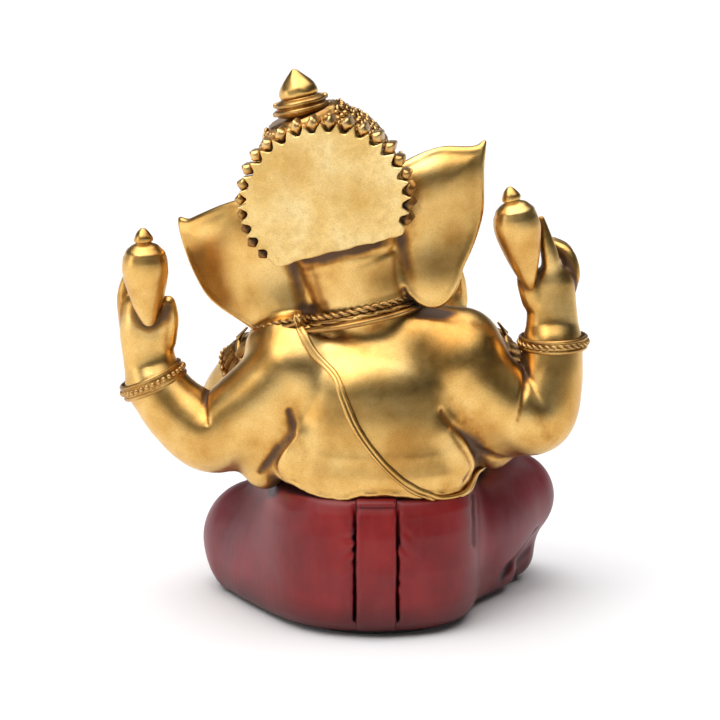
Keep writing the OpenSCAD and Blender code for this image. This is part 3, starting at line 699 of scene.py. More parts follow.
def mathn(nt, op, a, b=None, clamp=False):
    n = N(nt, "Math", operation=op, use_clamp=clamp)
    for i, v in enumerate((a, b)):
        if v is None:
            continue
        if isinstance(v, (int, float)):
            n.inputs[i].default_value = v
        else:
            link(nt, v, n.inputs[i])
    return n.outputs[0]


def mixc(nt, fac, a, b, mode="MIX"):
    n = N(nt, "Mix", data_type="RGBA", blend_type=mode)
    for k, v in ((0, fac), (6, a), (7, b)):
        if isinstance(v, (int, float)):
            n.inputs[k].default_value = v
        elif isinstance(v, tuple):
            n.inputs[k].default_value = (*v, 1) if len(v) == 3 else v
        else:
            link(nt, v, n.inputs[k])
    return n.outputs[2]


def lin(r, g, b):
    return tuple(((c / 255 + 0.055) / 1.055) ** 2.4 if c > 10 else c / 255 / 12.92 for c in (r, g, b))


def bump(nt, height, strength, distance, prev=None):
    n = N(nt, "Bump")
    n.inputs["Strength"].default_value = strength
    n.inputs["Distance"].default_value = distance
    link(nt, height, n.inputs["Height"])
    if prev is not None:
        link(nt, prev, n.inputs["Normal"])
    return n.outputs[0]


# reads back the colour attribute: brown antiquing with painted shade, edge wear with painted highlight, and a free
# channel
def wash_and_painted_light(nt):
    a = N(nt, "Attribute", attribute_name="wash_and_painted_light")
    s = N(nt, "SeparateColor")
    link(nt, a.outputs["Color"], s.inputs[0])
    return s.outputs[0], s.outputs[1], s.outputs[2]


def gold_paint(name, light, mid, deep, wash_shade_col, rough, metal=1.0, wash_shade_gain=1.0, pores=True, coarse=1.0):
    """Metal paint brushed over cast resin: fine flake grain, soft tone changes, brown antiquing with painted shade in
    hollows and creases, painted highlight with edge wear along convex edges, a few casting pores.
    """
    nt, b = nodes_for(name)
    co = N(nt, "TexCoord").outputs["Object"]
    wash_shade, edge, spare = wash_and_painted_light(nt)
    broad = grain(nt, 85 * coarse, 3, 0.5, co)
    blotch = grain(nt, 420 * coarse, 4, 0.62, co)
    fine = grain(nt, 3300, 2, 0.5, co)
    col = ramp(nt, broad, [(0.30, deep), (0.50, mid), (0.68, light)])
    speck = ramp(nt, fine, [(0.34, (0.86, 0.84, 0.80)), (0.52, (1, 1, 1)), (0.70, (1.05, 1.05, 1.04))])
    col = mixc(nt, 1.0, col, speck, "MULTIPLY")
    # edge wear with a painted highlight: lighter colour along convex edges
    col = mixc(nt, mathn(nt, "MULTIPLY", edge, 0.7, True), col, tuple(min(1, c * 1.1 + 0.05) for c in light))
    # a thin brown layer over soft hollows, partly antiquing and partly painted shade, then the darkest brown, painted
    # shade with antiquing, where the surface is most enclosed
    drift = mathn(nt, "MULTIPLY", mathn(nt, "SUBTRACT", blotch, 0.5), 0.45)
    w = mathn(nt, "ADD", mathn(nt, "MULTIPLY", wash_shade, 1.1 * wash_shade_gain), drift)
    glaze_shade = ramp(nt, w, [(0.10, (0, 0, 0)), (0.48, (1, 1, 1))])
    age = mathn(nt, "MULTIPLY", ramp(nt, grain(nt, 38 * coarse, 5, 0.62, co), [(0.47, (0, 0, 0)), (0.72, (1, 1, 1))]), 0.55)
    col = mixc(nt, mathn(nt, "MAXIMUM", glaze_shade, age), col, mixc(nt, 1.0, col, (0.62, 0.47, 0.30), "MULTIPLY"))
    gate = ramp(nt, w, [(0.42, (0, 0, 0)), (0.72, (0.6, 0.6, 0.6)), (1.0, (0.95, 0.95, 0.95))])
    col = mixc(nt, gate, col, wash_shade_col)
    height = mathn(nt, "ADD", mathn(nt, "MULTIPLY", fine, 0.5), mathn(nt, "MULTIPLY", blotch, 0.9))
    if pores:
        v = N(nt, "TexVoronoi")
        v.inputs["Scale"].default_value = 150
        link(nt, co, v.inputs["Vector"])
        sp = N(nt, "SeparateColor")
        link(nt, v.outputs["Color"], sp.inputs[0])
        rare = ramp(nt, sp.outputs[0], [(0.90, (0, 0, 0)), (0.91, (1, 1, 1))])
        dot = ramp(nt, v.outputs["Distance"], [(0.030, (1, 1, 1)), (0.055, (0, 0, 0))])
        pore = mathn(nt, "MULTIPLY", dot, rare)
        col = mixc(nt, pore, col, (0.03, 0.015, 0.006))
        height = mathn(nt, "SUBTRACT", height, mathn(nt, "MULTIPLY", pore, 2.5))
    link(nt, col, b.inputs["Base Color"])
    link(nt, mathn(nt, "SUBTRACT", metal, mathn(nt, "MULTIPLY", gate, 0.75)), b.inputs["Metallic"])
    rr = mathn(nt, "ADD", mathn(nt, "MULTIPLY", blotch, 0.14), rough - 0.07)
    link(nt, mathn(nt, "ADD", rr, mathn(nt, "MULTIPLY", gate, 0.22), True), b.inputs["Roughness"])
    link(nt, bump(nt, height, 0.5, 0.00008), b.inputs["Normal"])
    b.inputs["Coat Weight"].default_value = 0.06
    b.inputs["Coat Roughness"].default_value = 0.28
    return MATS[name]


def red_paint(name):
    """Satin oxblood paint with faint brush streaks, brown antiquing with painted shade in hollows and creases, a
    painted pale sheen on the outer folds and a painted shadow along the floor line.
    """
    nt, b = nodes_for(name)
    co = N(nt, "TexCoord").outputs["Object"]
    wash_shade, edge, spare = wash_and_painted_light(nt)
    mp = N(nt, "Mapping")
    mp.inputs["Scale"].default_value = (1.0, 1.0, 0.28)
    link(nt, co, mp.inputs["Vector"])
    streak = grain(nt, 260, 4, 0.6, mp.outputs[0])
    broad = grain(nt, 60, 3, 0.5, co)
    fine = grain(nt, 2600, 2, 0.5, co)
    col = ramp(nt, broad, [(0.32, lin(108, 14, 17)), (0.52, lin(128, 19, 21)), (0.70, lin(146, 25, 25))])
    col = mixc(nt, mathn(nt, "MULTIPLY", ramp(nt, streak, [(0.45, (0, 0, 0)), (0.72, (1, 1, 1))]), 0.22), col, lin(150, 62, 60))
    # edge wear with a painted highlight: lighter along convex edges
    col = mixc(nt, mathn(nt, "MULTIPLY", edge, 0.35, True), col, lin(176, 62, 56))
    # brown antiquing with painted shade: darker in hollows and creases
    w = mathn(nt, "ADD", mathn(nt, "MULTIPLY", wash_shade, 1.2), mathn(nt, "MULTIPLY", mathn(nt, "SUBTRACT", streak, 0.5), 0.5))
    w = ramp(nt, w, [(0.18, (0, 0, 0)), (0.85, (1, 1, 1))])
    col = mixc(nt, mathn(nt, "MULTIPLY", w, 0.88), col, lin(34, 9, 14))
    # painted pale sheen on the outer folds, standing in for the floor and walls reflecting on the cloth
    at = N(nt, "SeparateXYZ")
    link(nt, co, at.inputs[0])
    far = ramp(nt, mathn(nt, "ABSOLUTE", at.outputs[0]), [(0.024, (0, 0, 0)), (0.040, (1, 1, 1))])
    low = ramp(nt, at.outputs[2], [(0.002, (0, 0, 0)), (0.012, (1, 1, 1))])
    painted_sheen = mathn(nt, "MULTIPLY", mathn(nt, "MULTIPLY", far, low), mathn(nt, "ADD", mathn(nt, "MULTIPLY", streak, 0.9), -0.05), True)
    col = mixc(nt, painted_sheen, col, lin(112, 74, 84))
    # painted shadow: darker towards the floor line
    col = mixc(nt, mathn(nt, "MULTIPLY", mathn(nt, "SUBTRACT", 1.0, low), 0.75), col, lin(46, 10, 14))
    link(nt, col, b.inputs["Base Color"])
    b.inputs["Metallic"].default_value = 0.0
    b.inputs["Specular IOR Level"].default_value = 0.38
    b.inputs["Coat Weight"].default_value = 0.06
    b.inputs["Coat Roughness"].default_value = 0.3
    link(nt, mathn(nt, "ADD", mathn(nt, "MULTIPLY", streak, 0.16), 0.34), b.inputs["Roughness"])
    h = mathn(nt, "ADD", mathn(nt, "MULTIPLY", streak, 0.7), mathn(nt, "MULTIPLY", fine, 0.5))
    link(nt, bump(nt, h, 0.4, 0.00009), b.inputs["Normal"])
    return MATS[name]


def simple_paint(name, cols, rough, scale=600, metal=0.0, bumpy=0.00005, wash_shade_col=(0.05, 0.025, 0.01), coat=0.0):
    nt, b = nodes_for(name)
    co = N(nt, "TexCoord").outputs["Object"]
    wash_shade, edge, spare = wash_and_painted_light(nt)
    n1 = grain(nt, scale, 4, 0.6, co)
    col = ramp(nt, n1, [(0.3, cols[0]), (0.55, cols[1]), (0.75, cols[2])])
    # brown antiquing with painted shade: darker in hollows and where other parts stand close
    w = ramp(nt, mathn(nt, "ADD", wash_shade, mathn(nt, "MULTIPLY", mathn(nt, "SUBTRACT", n1, 0.5), 0.4)), [(0.1, (0, 0, 0)), (0.8, (1, 1, 1))])
    col = mixc(nt, mathn(nt, "MULTIPLY", w, 0.85), col, wash_shade_col)
    link(nt, col, b.inputs["Base Color"])
    b.inputs["Metallic"].default_value = metal
    if coat:
        b.inputs["Coat Weight"].default_value = coat
        b.inputs["Coat Roughness"].default_value = 0.12
    link(nt, mathn(nt, "ADD", mathn(nt, "MULTIPLY", n1, 0.15), rough - 0.07), b.inputs["Roughness"])
    link(nt, bump(nt, n1, 0.5, bumpy), b.inputs["Normal"])
    return MATS[name]


gold_paint("gold_paint", lin(238, 200, 128), lin(226, 182, 106), lin(204, 154, 80), (0.085, 0.036, 0.011), 0.31)
gold_paint("antique_gold_paint", lin(218, 180, 112), lin(190, 146, 80), lin(150, 108, 56), (0.035, 0.018, 0.009), 0.34, wash_shade_gain=1.4, pores=False, coarse=2)
gold_paint("pale_gold_paint", lin(250, 224, 160), lin(244, 210, 138), lin(230, 190, 112), (0.16, 0.085, 0.03), 0.44, wash_shade_gain=0.8)
red_paint("red_paint")
simple_paint("ivory_paint", [lin(214, 196, 152), lin(234, 222, 188), lin(244, 236, 212)], 0.36, 500)
simple_paint("eye_paint", [lin(20, 13, 9), lin(30, 19, 12), lin(44, 28, 17)], 0.16, 400, coat=0.6)
simple_paint("sweet_paint", [lin(214, 164, 84), lin(236, 200, 128), lin(246, 222, 166)], 0.42, 900, bumpy=0.00008)
simple_paint("red_stone", [lin(110, 8, 16), lin(150, 12, 22), lin(176, 24, 32)], 0.14, 300, coat=0.8)


def felt_material(name):
    nt, b = nodes_for(name)
    co = N(nt, "TexCoord").outputs["Object"]
    n1 = grain(nt, 2500, 5, 0.7, co)
    n2 = grain(nt, 300, 3, 0.5, co)
    col = ramp(nt, n1, [(0.3, (0.012, 0.010, 0.010)), (0.7, (0.05, 0.045, 0.045))])
    link(nt, mixc(nt, mathn(nt, "MULTIPLY", n2, 0.5), col, (0.03, 0.026, 0.026)), b.inputs["Base Color"])
    b.inputs["Roughness"].default_value = 0.95
    b.inputs["Sheen Weight"].default_value = 0.5
    b.inputs["Sheen Roughness"].default_value = 0.5
    link(nt, bump(nt, n1, 0.9, 0.00025), b.inputs["Normal"])


def steel_material(name):
    nt, b = nodes_for(name)
    co = N(nt, "TexCoord").outputs["Object"]
    mp = N(nt, "Mapping")
    mp.inputs["Scale"].default_value = (1, 1, 12)
    link(nt, co, mp.inputs["Vector"])
    n1 = grain(nt, 900, 3, 0.6, mp.outputs[0])
    link(nt, ramp(nt, n1, [(0.3, lin(150, 152, 156)), (0.7, lin(196, 198, 202))]), b.inputs["Base Color"])
    b.inputs["Metallic"].default_value = 1.0
    link(nt, mathn(nt, "ADD", mathn(nt, "MULTIPLY", n1, 0.2), 0.22), b.inputs["Roughness"])
    link(nt, bump(nt, n1, 0.3, 0.00004), b.inputs["Normal"])


felt_material("felt")
steel_material("steel")

# ------------------------------------------------------------------ the gold castings as one flowing body
LL = [[12, 4, 18.5, 18.4], [25, -6.5, 17, 18.2], [35.2, -17.5, 15.2, 17.6]]
LS = [[36, -20, 14, 14.4], [27, -33, 11.6, 11.4], [11, -41, 9.9, 8]]
RL = [[-12, 4, 20, 18], [-28, -8, 21.5, 17], [-41.8, -23, 27, 13]]
RS = [[-42, -25, 25.5, 12.4], [-40.5, -30, 17, 11.4], [-38.5, -34, 9.6, 9.6]]
RF = [[-16, -6, 12.4, 9.8], [-30, -13, 10, 9.6], [-41.2, -22, 8.6, 8]]
RLA = [[25, 9.5, 72.5, 12.6], [36, 10.5, 62, 12.5], [47, 10, 54.6, 11.8], [57, 8, 59.8, 10.2], [64.3, 6, 68, 8.7]]
RRA = [[-25, 9.5, 73.5, 12.6], [-36.5, 10.5, 63.5, 12.3], [-46.5, 10, 60, 11.4], [-50.8, 8, 70, 9.6], [-51.6, 6, 80, 8.5]]
FLA = [[27, -5, 76.5, 10.6], [38, -11, 66, 10.3], [44, -17, 56, 9.4], [38, -29, 51.5, 8], [28.5, -37.5, 51, 6.3]]
FRA = [[-26, -5, 78.5, 10.2], [-35.5, -11, 68, 9.8], [-40, -17, 58.5, 9], [-35, -28, 61.5, 7.8], [-26.5, -35, 70, 6.2]]
SH = [[-25, 6, 79.5, 11.6], [0, 6, 80.5, 12.4], [24, 6, 75.8, 11.6]]
TR = [[0, -13, 13, 8.6], [0, -20, 7.5, 8], [0, -25.5, -2, 7], [2.5, -29.5, -12, 6], [8, -32.5, -20, 5.1], [15, -34.5, -24.6, 4.4], [21, -35.5, -24, 3.9], [24.6, -36, -19.4, 3.5]]
EOL = [[49.4, 36.4], [49.4, 28.6], [48.6, 20.6], [46.4, 13.2], [43, 8.8], [38, 4.6], [32.4, 0], [26.4, -4], [19.4, -4.4], [14.2, 1], [12.8, 10], [12.6, 22], [14, 31.5], [19, 35.8], [26, 37.8], [33.6, 37.7], [42, 36.3], [46, 35.6]]
EOR = [[45.8, 37.4], [43.9, 30.6], [42.4, 24.4], [40.6, 18], [37.8, 12.6], [34.6, 7.8], [31.6, 4], [28.6, -1], [23.4, -4.8], [18, -3.6], [14, 2], [12.8, 10], [12.6, 22], [14, 32], [19, 36.4], [26.2, 38.4], [33.2, 38.8], [39.6, 37.2], [43, 36.6]]
WRIST = {"rear_left": ([65.3, 5.6, 69.6], [0.41, 0, 0.91]), "rear_right": ([-51.8, 5.9, 81], [0.02, 0, 1]),
         "front_left": ([29.4, -36.6, 51.1], [-0.74, -0.66, 0.04]), "front_right": ([-27.4, -34.2, 68.8], [0.62, -0.5, 0.66])}
ANKLE = {"left": ([10.4, -41.4, 9.9], [-0.93, -0.36, -0.1]), "right": ([-37, -37, 10.4], [0.12, -0.55, -0.83])}


def ear_mid(x, z):
    lean = 0.0135 * np.clip(z - 14, 0, 24) ** 2 * np.clip((x - 11) / 12, 0, 1)
    return 3.6 - 5.5 * (np.maximum(0, x - 14) / 32) ** 2 - 1.9 * np.cos(np.radians(np.clip((z - 17) * 9, -180, 180))) - lean


def ear_half(x, z, s):
    """Half thickness: a thin rolled rim, a slight hollow inside it, then the fleshy middle."""
    s = np.maximum(s, 0)
    return 1.05 + 1.45 * (1 - np.exp(-np.maximum(s - 1.6, 0) / 5.5)) + 0.32 * np.exp(-((s - 0.9) / 0.9) ** 2)


gold = Field()
gold.add("torso", Blob([0, -9, 47], [34, 30, 24]), 0)
gold.add("torso", Blob([0, 4, 62], [29, 26, 26]), 4)


def hem_height(x):
    return np.interp(x, [-34, -27.5, -22.7, -19, -15.4, -12, -8.2, -5, -2.5, 1, 4.6, 7.5, 10.3, 14, 18.8, 22, 24.6, 28, 34],
                     [40.2, 39.4, 39.2, 39.8, 40.0, 39.7, 40.5, 40.9, 41.1, 40.9, 40.9, 39.8, 39.3, 39.6, 40.3, 41.4, 42.6, 43.4, 44]).astype(F32)


def waist_shape(P):
    """The soft, squarish roll of the waist, cut off along a wavy hem over the cloth."""
    z = P[:, 2]
    a = np.interp(z, [36, 41, 46, 52, 58, 66], [28.3, 28.7, 28.9, 27.4, 25.6, 22]).astype(F32)
    b = np.interp(z, [36, 41, 46, 52, 58, 66], [24.0, 24.6, 24.9, 24.2, 22.6, 20]).astype(F32)
    n = 2.3
    y0 = 7.4
    g = ((np.abs(P[:, 0]) / a) ** n + (np.abs(P[:, 1] - y0) / b) ** n + 1e-9) ** (1 / n)
    r = np.hypot(P[:, 0], P[:, 1] - y0) + 1e-3
    d = np.where(g < 0.3, -12, r * (1 - 1 / np.maximum(g, 0.05))) * 0.95
    w = np.clip((P[:, 1] - 2) / 8, 0, 1)
    hem = 30 + (hem_height(P[:, 0]) - 30) * w
    t = (z - hem - 0.75) / 0.62
    d = d - (0.42 + 0.16 * np.sin(P[:, 0] * 0.9) + 0.1 * np.sin(P[:, 0] * 2.3 + 1)) * np.exp(-t * t) * w
    return smax(smax(d, hem - z, 1.2), z - 64, 6)


gold.add("torso", Fn(waist_shape), 5)
gold.add("torso", Limb(SH), 6)
# flesh under the arms, down to the lap
gold.add("torso", Limb([[27, 13, 62, 6], [30.5, 14, 52, 6.4], [32.5, 11, 44, 6]]), 3.5)
gold.add("torso", Limb([[-27, 12, 64, 6], [-31, 11, 54, 6.4], [-34.5, 8, 48.5, 5.2]]), 3.5)
# soft folds that run from the armpits to the waist
gold.add("torso", Limb([[22.6, 20.6, 56.5, 2.2], [24.8, 20.6, 51.5, 2.6], [26.0, 20.4, 47, 2.2]]), 6)
gold.add("torso", Limb([[-19.6, 21.6, 58, 2.0], [-23.2, 20.6, 53, 2.6], [-25.4, 19.4, 48, 2.2]]), 6)
gold.add("rear_left_arm", Limb(RLA, 12), 5.5)
gold.add("rear_right_arm", Limb(RRA, 12), 5.5)
gold.add("front_left_arm", Limb(FLA, 10), 4)
gold.add("front_right_arm", Limb(FRA, 10), 4)
# head
gold.add("head", Local(Limb([[0, -0.8, -9, 14.9], [0, -0.8, 2, 14.7], [0, -0.8, 12, 14.6], [0, -1.2, 20, 14.2]])), 1.6)
gold.add("head", Local(Blob([0, -4, 20], [16.8, 17, 17])), 4)
for sd in (-1, 1):
    gold.add("head", Local(Blob([sd * 8.4, -13, 9], [7.8, 8, 9.4])), 4)
    gold.add("head", Local(Blob([sd * 5.8, -13.2, 22], [8, 7.4, 7.6])), 4)
gold.add("head", Local(Limb([[15.0, -0.9, -9, 3.4], [15.7, -0.7, 0, 3.7], [15.8, -0.7, 8, 3.7], [15.4, -0.8, 16, 3.4]])), 1.4)
gold.add("head", Local(Limb([[-15.0, -0.9, -9, 3.4], [-15.6, -0.6, 0, 3.6], [-15.6, -0.6, 8, 3.6], [-15.2, -0.8, 16, 3.4]])), 1.4)
gold.add("torso", Limb([[19, 10.5, 83.5, 5.6], [27, 8.6, 83.4, 5.0], [33, 5.5, 80.5, 4.6]]), 3.5)
gold.add("left_ear", Local(Sheet(1, EOL, ear_mid, ear_half, 0.95)), 2.2)
gold.add("right_ear", Local(Sheet(-1, EOR, ear_mid, ear_half, 0.95)), 2.2)
gold.add("trunk", Local(Limb(TR, 5)), 3)
for sd in (-1, 1):
    for t0, t1, h_, w_ in ((12, 168, 1.75, 0.62), (192, 348, 1.35, 0.5)):
        t = np.radians(np.linspace(t0, t1, 9))
        lid = np.stack([sd * 9.3 + 2.5 * np.cos(t), -20.75 + 0.75 * np.abs(np.cos(t)), 16.2 + h_ * np.sin(t), np.full(9, w_)], 1)
        gold.add("head", Local(Limb(lid, 3)), 0.6)
    t = np.radians(np.linspace(30, 150, 8))
    gold.add("head", Local(Limb(np.stack([sd * 9.0 + 4.4 * np.cos(t), -20.0 + 1.2 * np.abs(np.cos(t)), 17.4 + 3.4 * np.sin(t), np.full(8, 0.6)], 1), 3)), 1.8)
# hands
gold.add("rear_left_hand", Limb([[64.6, 6, 68.6, 8.5], [66.4, 5.3, 76.4, 7.6], [67, 4.8, 84, 7.8], [67.8, 4, 90, 6.4]], 4, (1, 5, 0.8)), 1.5)
gold.add("rear_left_hand", Limb([[61.5, 6.5, 82, 3.4], [60.2, 7.4, 88, 3], [60.4, 7.8, 92.6, 2.4]]), 1.6)
for i in range(4):
    gold.add("rear_left_hand", Limb([[72.4, 2.4 - 3.6 * i, 86, 2.7], [73.2, 2.6 - 3.7 * i, 93, 2.5], [72, 2.8 - 3.7 * i, 98.6, 2.2], [69.6, 3 - 3.6 * i, 102.4 - 0.8 * i, 1.8]]), 0.9 if i else 1.6)
gold.add("rear_right_hand", Limb([[-51.7, 5.8, 80.4, 8.3], [-51.4, 5, 88.6, 7.4], [-51, 4, 96.5, 7]], 4, (1, 5, 0.8)), 1.5)
gold.add("rear_right_hand", Limb([[-45.6, 6, 93.5, 3.3], [-43.6, 7, 98.5, 2.7], [-42.9, 7.6, 102.6, 2.1]]), 1.6)
gold.add("rear_right_hand", Limb([[-51.4, 5.4, 97, 3.1], [-50.6, 6, 105, 2.7], [-49, 5.6, 111.5, 2], [-47.8, 5, 117, 1]]), 1.6)
for i in range(3):
    gold.add("rear_right_hand", Limb([[-55.4, 0.6 - 3.7 * i, 94, 2.8], [-57.3, -0.2 - 3.7 * i, 100, 2.6], [-56, -1.4 - 3.6 * i, 105.4, 2.3], [-52.4, -2.4 - 3.4 * i, 107.6, 2]]), 0.9 if i else 1.6)
gold.add("front_left_hand", Limb([[29.2, -36.8, 51, 6], [22.5, -42.5, 51.8, 6.4], [17.5, -44.5, 52.6, 5.6]], 4), 1.5)
gold.add("front_left_hand", Limb([[25, -46, 53, 2.8], [21.8, -50, 55.5, 2.4], [17.6, -51.4, 58, 2]]), 1.6)
for i in range(4):
    gold.add("front_left_hand", Limb([[15.5, -49 + 3.3 * i, 52.6, 2.2], [11.4, -49.4 + 3.4 * i, 54.4, 2.1], [8.9, -49.2 + 3.3 * i, 58.2, 1.8]]), 0.8)
gold.add("front_right_hand", Limb([[-27.2, -34.4, 69, 6], [-23.4, -37, 77.5, 6.8], [-21.6, -37.5, 83.5, 6.6]], 4, (1, -36.5, 0.66)), 1.5)
gold.add("front_right_hand", Limb([[-18.4, -39, 77, 2.9], [-14.6, -40, 81.5, 2.5], [-13.2, -40.2, 86, 2]]), 1.6)
for i in range(4):
    gold.add("front_right_hand", Limb([[-16.7 - 3.3 * i, -37.7, 85.6, 2.35], [-15.5 - 3.55 * i, -37.3, 90.8, 2.15], [-14.9 - 3.6 * i, -36.5, 96.2 - abs(i - 1) * 1.1, 1.7]]), 0.8)
# creases, each laid on the skin first
def gradient(field, P, e=0.25):
    g = np.stack([field.f((P + d).astype(F32)) - field.f((P - d).astype(F32)) for d in np.eye(3) * e], 1)
    return g / np.maximum(np.linalg.norm(g, axis=1, keepdims=True), 1e-9)


def on_skin(field, P, lift, rounds=5):
    P = A(P)
    for _ in range(rounds):
        d = field.f(P.astype(F32))
        P = P - gradient(field, P) * (d - lift)[:, None]
    return P


CREASES = []
NECK_LINES = [[head_pt([16.9, 4.4, z]) for z in (-6, 0, 6, 12, 17)], [head_pt([-16.6, 4.4, z]) for z in (-6, 0, 6, 12, 17)],
              [head_pt([x, 13.6, 17.2]) for x in (-14, -7, 0, 7, 14)], [head_pt([x, 13, -5.5 + 0.1 * abs(x)]) for x in (-13, -6, 0, 6, 13)]]


def crease(field, pts, k=1.2, lift=0.0, n=6):
    C = spline(pts, n)
    C[:, :3] = on_skin(field, C[:, :3], lift, 4)
    for _ in range(2):
        C[1:-1, :3] = 0.5 * C[1:-1, :3] + 0.25 * (C[:-2, :3] + C[2:, :3])
    CREASES.append(C[:, :3])
    return Limb(C, 0), k


skin_cuts = []
for pts, k in (([[24.9, 24.4, 64.0, 0.05], [24.4, 24, 60, 0.15], [25.2, 22.6, 56, 0.22], [28, 20.6, 52, 0.22], [31.4, 18.6, 48.2, 0.18], [33, 16, 45.6, 0.1]], 2.0),
               ([[-18.6, 24, 64.2, 0.05], [-20.6, 23, 60, 0.16], [-24.2, 21, 56, 0.22], [-28.4, 19, 52, 0.2], [-33, 17, 49, 0.15], [-37, 15, 47, 0.05]], 2.0),
               ([[-20.6, 23.4, 58.4, 0.1], [-24.4, 22.6, 53, 0.3], [-26.8, 21, 47.6, 0.4], [-26, 22, 43, 0.2]], 1.3),
               ([[23.6, 23.6, 57.4, 0.1], [26, 21.8, 52.4, 0.2], [27.6, 20.6, 48, 0.3], [27, 22, 44.4, 0.15]], 1.3),
               ([[47.1, 17.5, 58.6, 0.2], [46.9, 14, 62.5, 0.4], [46.7, 8, 65, 0.5]], 1.2),
               ([[-40.2, 18.6, 61.5, 0.2], [-41.0, 17.4, 67, 0.45], [-41.6, 12, 71.5, 0.5]], 1.2)):
    skin_cuts.append(crease(gold, pts, k, -0.05))
for l_, k in skin_cuts:
    gold.cut(l_, k)
for z0, w0 in ((15.6, 0.34), (13.2, 0.26), (3.5, 0.3), (-2.6, 0.24)):
    a = np.radians(np.linspace(25, 155, 14))
    ring = np.stack([15.4 * np.cos(a), 15.4 * np.sin(a) - 0.8, z0 + 0.9 * np.cos(a * 2.3 + z0)], 1)
    gold.cut(Local(Limb(np.hstack([ring, np.full((14, 1), w0)]), 0)), 0.9)


trunk_line = Limb(TR, 5)


def trunk_rings(P, d):
    """Shallow rings across the trunk and fine folds above it."""
    Q = (P - PIVOT.astype(F32)) @ HEAD.astype(F32)
    m = (Q[:, 1] < -17) & (Q[:, 2] < 12)
    out = np.zeros(len(P), F32)
    if m.any():
        q = Q[m]
        near = np.clip(1.4 - trunk_line.f(q) / 1.6, 0, 1)
        s = 1.55 * (q[:, 2] * 0.9 - q[:, 1] * 0.25 - q[:, 0] * 0.35)
        out[m] = near * 0.20 * np.sin(s * 1.35) * np.clip((-17 - q[:, 1]) / 4, 0, 1)
    return out


gold.warp(trunk_rings)
gold.cut(Limb([[1.5, -39.4, 47.5, 1.3], [1.5, -37, 47.2, 1.0]], 1), 1.2)


def seat_row(z):
    R = np.array([[-1, 26.3, 23.8], [1.2, 26.5, 24], [2.2, 28.2, 26], [4.5, 29.8, 28], [9, 30.8, 29.3], [20, 31, 29.5], [30, 30.6, 28.2], [36, 29.6, 26.6], [39.5, 28, 24.8], [41, 26, 23], [46, 24, 21]])
    return np.interp(z, R[:, 0], R[:, 1]).astype(F32), np.interp(z, R[:, 0], R[:, 2]).astype(F32)


def seat_shape(P, grow=0.0):
    a, b = seat_row(P[:, 2])
    x, y = np.abs(P[:, 0]) / a, np.abs(P[:, 1] - 8) / b
    n = 2.44
    g = (x ** n + y ** n + 1e-9) ** (1 / n)
    r = np.hypot(P[:, 0], P[:, 1] - 8) + 1e-3
    d = r * (1 - 1 / np.maximum(g, 0.05))
    d = np.where(g < 0.3, -12, d) * 0.97
    return smax(d - grow, P[:, 2] - 41.2 - grow, 3.0)


red = Field()
red.add("seat", Fn(seat_shape), 0)
red.add("left_leg", Limb(LL, 12), 15)
red.add("left_leg", Limb(LS, 12), 4)
red.add("right_leg", Limb(RL, 14), 4)
red.add("right_leg", Limb(RS, 12), 4)
red.add("right_leg", Limb(RF, 10), 5)
# cloth that fills the floor line between the seat and the legs
red.add("seat", Limb([[10, 16, 7.5, 9], [22, 12, 7, 8.4], [33, 1, 7, 7.6], [40, -10, 7, 6.4]], 8), 9)
red.add("seat", Limb([[-10, 16, 7.5, 8], [-22, 9, 7, 6.6], [-31, 0, 6.6, 5.2], [-38, -9, 6.4, 4.8]], 8), 3)


def slot_cut(P):
    """The recess that the hanging strip lies in."""
    q = np.stack([np.abs(P[:, 0]) - 6.35, 32.6 - P[:, 1], 5.4 - P[:, 2]], 1)
    o = np.maximum(q, 0)
    return np.sqrt((o * o).sum(1)) + np.minimum(q.max(1), 0)


red.cut(Fn(slot_cut), 1.3)


def strip_wrinkles(P, d):
    """Small gathers in the cloth where it is pulled in at the strip."""
    out = np.zeros(len(P), F32)
    m = (P[:, 1] > 24) & (np.abs(P[:, 0]) < 14) & (P[:, 2] > 5)
    if m.any():
        q = P[m]
        e = np.abs(q[:, 0]) - 6.4
        side = np.where(q[:, 0] > 0, 1, -1)
        zz = q[:, 2] + 0.8 * e * (0.5 + 0.5 * np.sin(q[:, 2] * 0.3 + side)) + 1.6 * noise3(q, 6, 4)
        fade = np.exp(-np.maximum(e - 0.2, 0) / 2.6) * np.clip((q[:, 2] - 11) / 5, 0, 1) * np.clip((36 - q[:, 2]) / 5, 0, 1)
        some = np.clip(0.35 + 1.1 * noise3(q, 4.5, 21), 0, 1)
        ridge = 1 - 2 * np.abs(np.sin(zz * 0.82 + side * 0.8)) ** 0.7
        out[m] = 0.42 * fade * some * ridge
    return out


red.warp(strip_wrinkles)
RED_LINES = []
red_cuts = []
for pts, k in (([[-49.5, -13, 18, 0.2], [-46, -8, 14, 0.9], [-42, -5, 10.4, 1.3], [-38.4, -4, 8, 0.9], [-36, -3, 6.6, 0.3]], 2.4),
               ([[-49.4, -16, 11, 0.2], [-45.6, -11, 7.6, 0.5], [-42, -9, 5.2, 0.3]], 1.5),
               ([[43.5, 3.5, 36.2, 0.05], [38.5, 8.4, 37.6, 0.16], [33.6, 11.6, 38.2, 0.16], [30, 15, 38.8, 0.1]], 2.4),
               ([[30.5, 17.8, 40, 0.1], [27.8, 21.6, 39.6, 0.16], [26.4, 24, 36.4, 0.1]], 2.4),
               ([[38.4, 4.4, 34.4, 0.05], [36.4, 9.4, 33.2, 0.1], [33.4, 14.4, 31.4, 0.05]], 2.4),
               ([[-31, 15.6, 39.4, 0.1], [-30.2, 18.6, 36.4, 0.2], [-29.6, 20.8, 32, 0.15], [-29.4, 22, 25, 0.05]], 3.0)):
    red_cuts.append(crease(red, pts, k, -0.05))
    RED_LINES.append(CREASES.pop())
for l_, k in red_cuts[:2] + red_cuts[5:]:
    red.cut(l_, k)


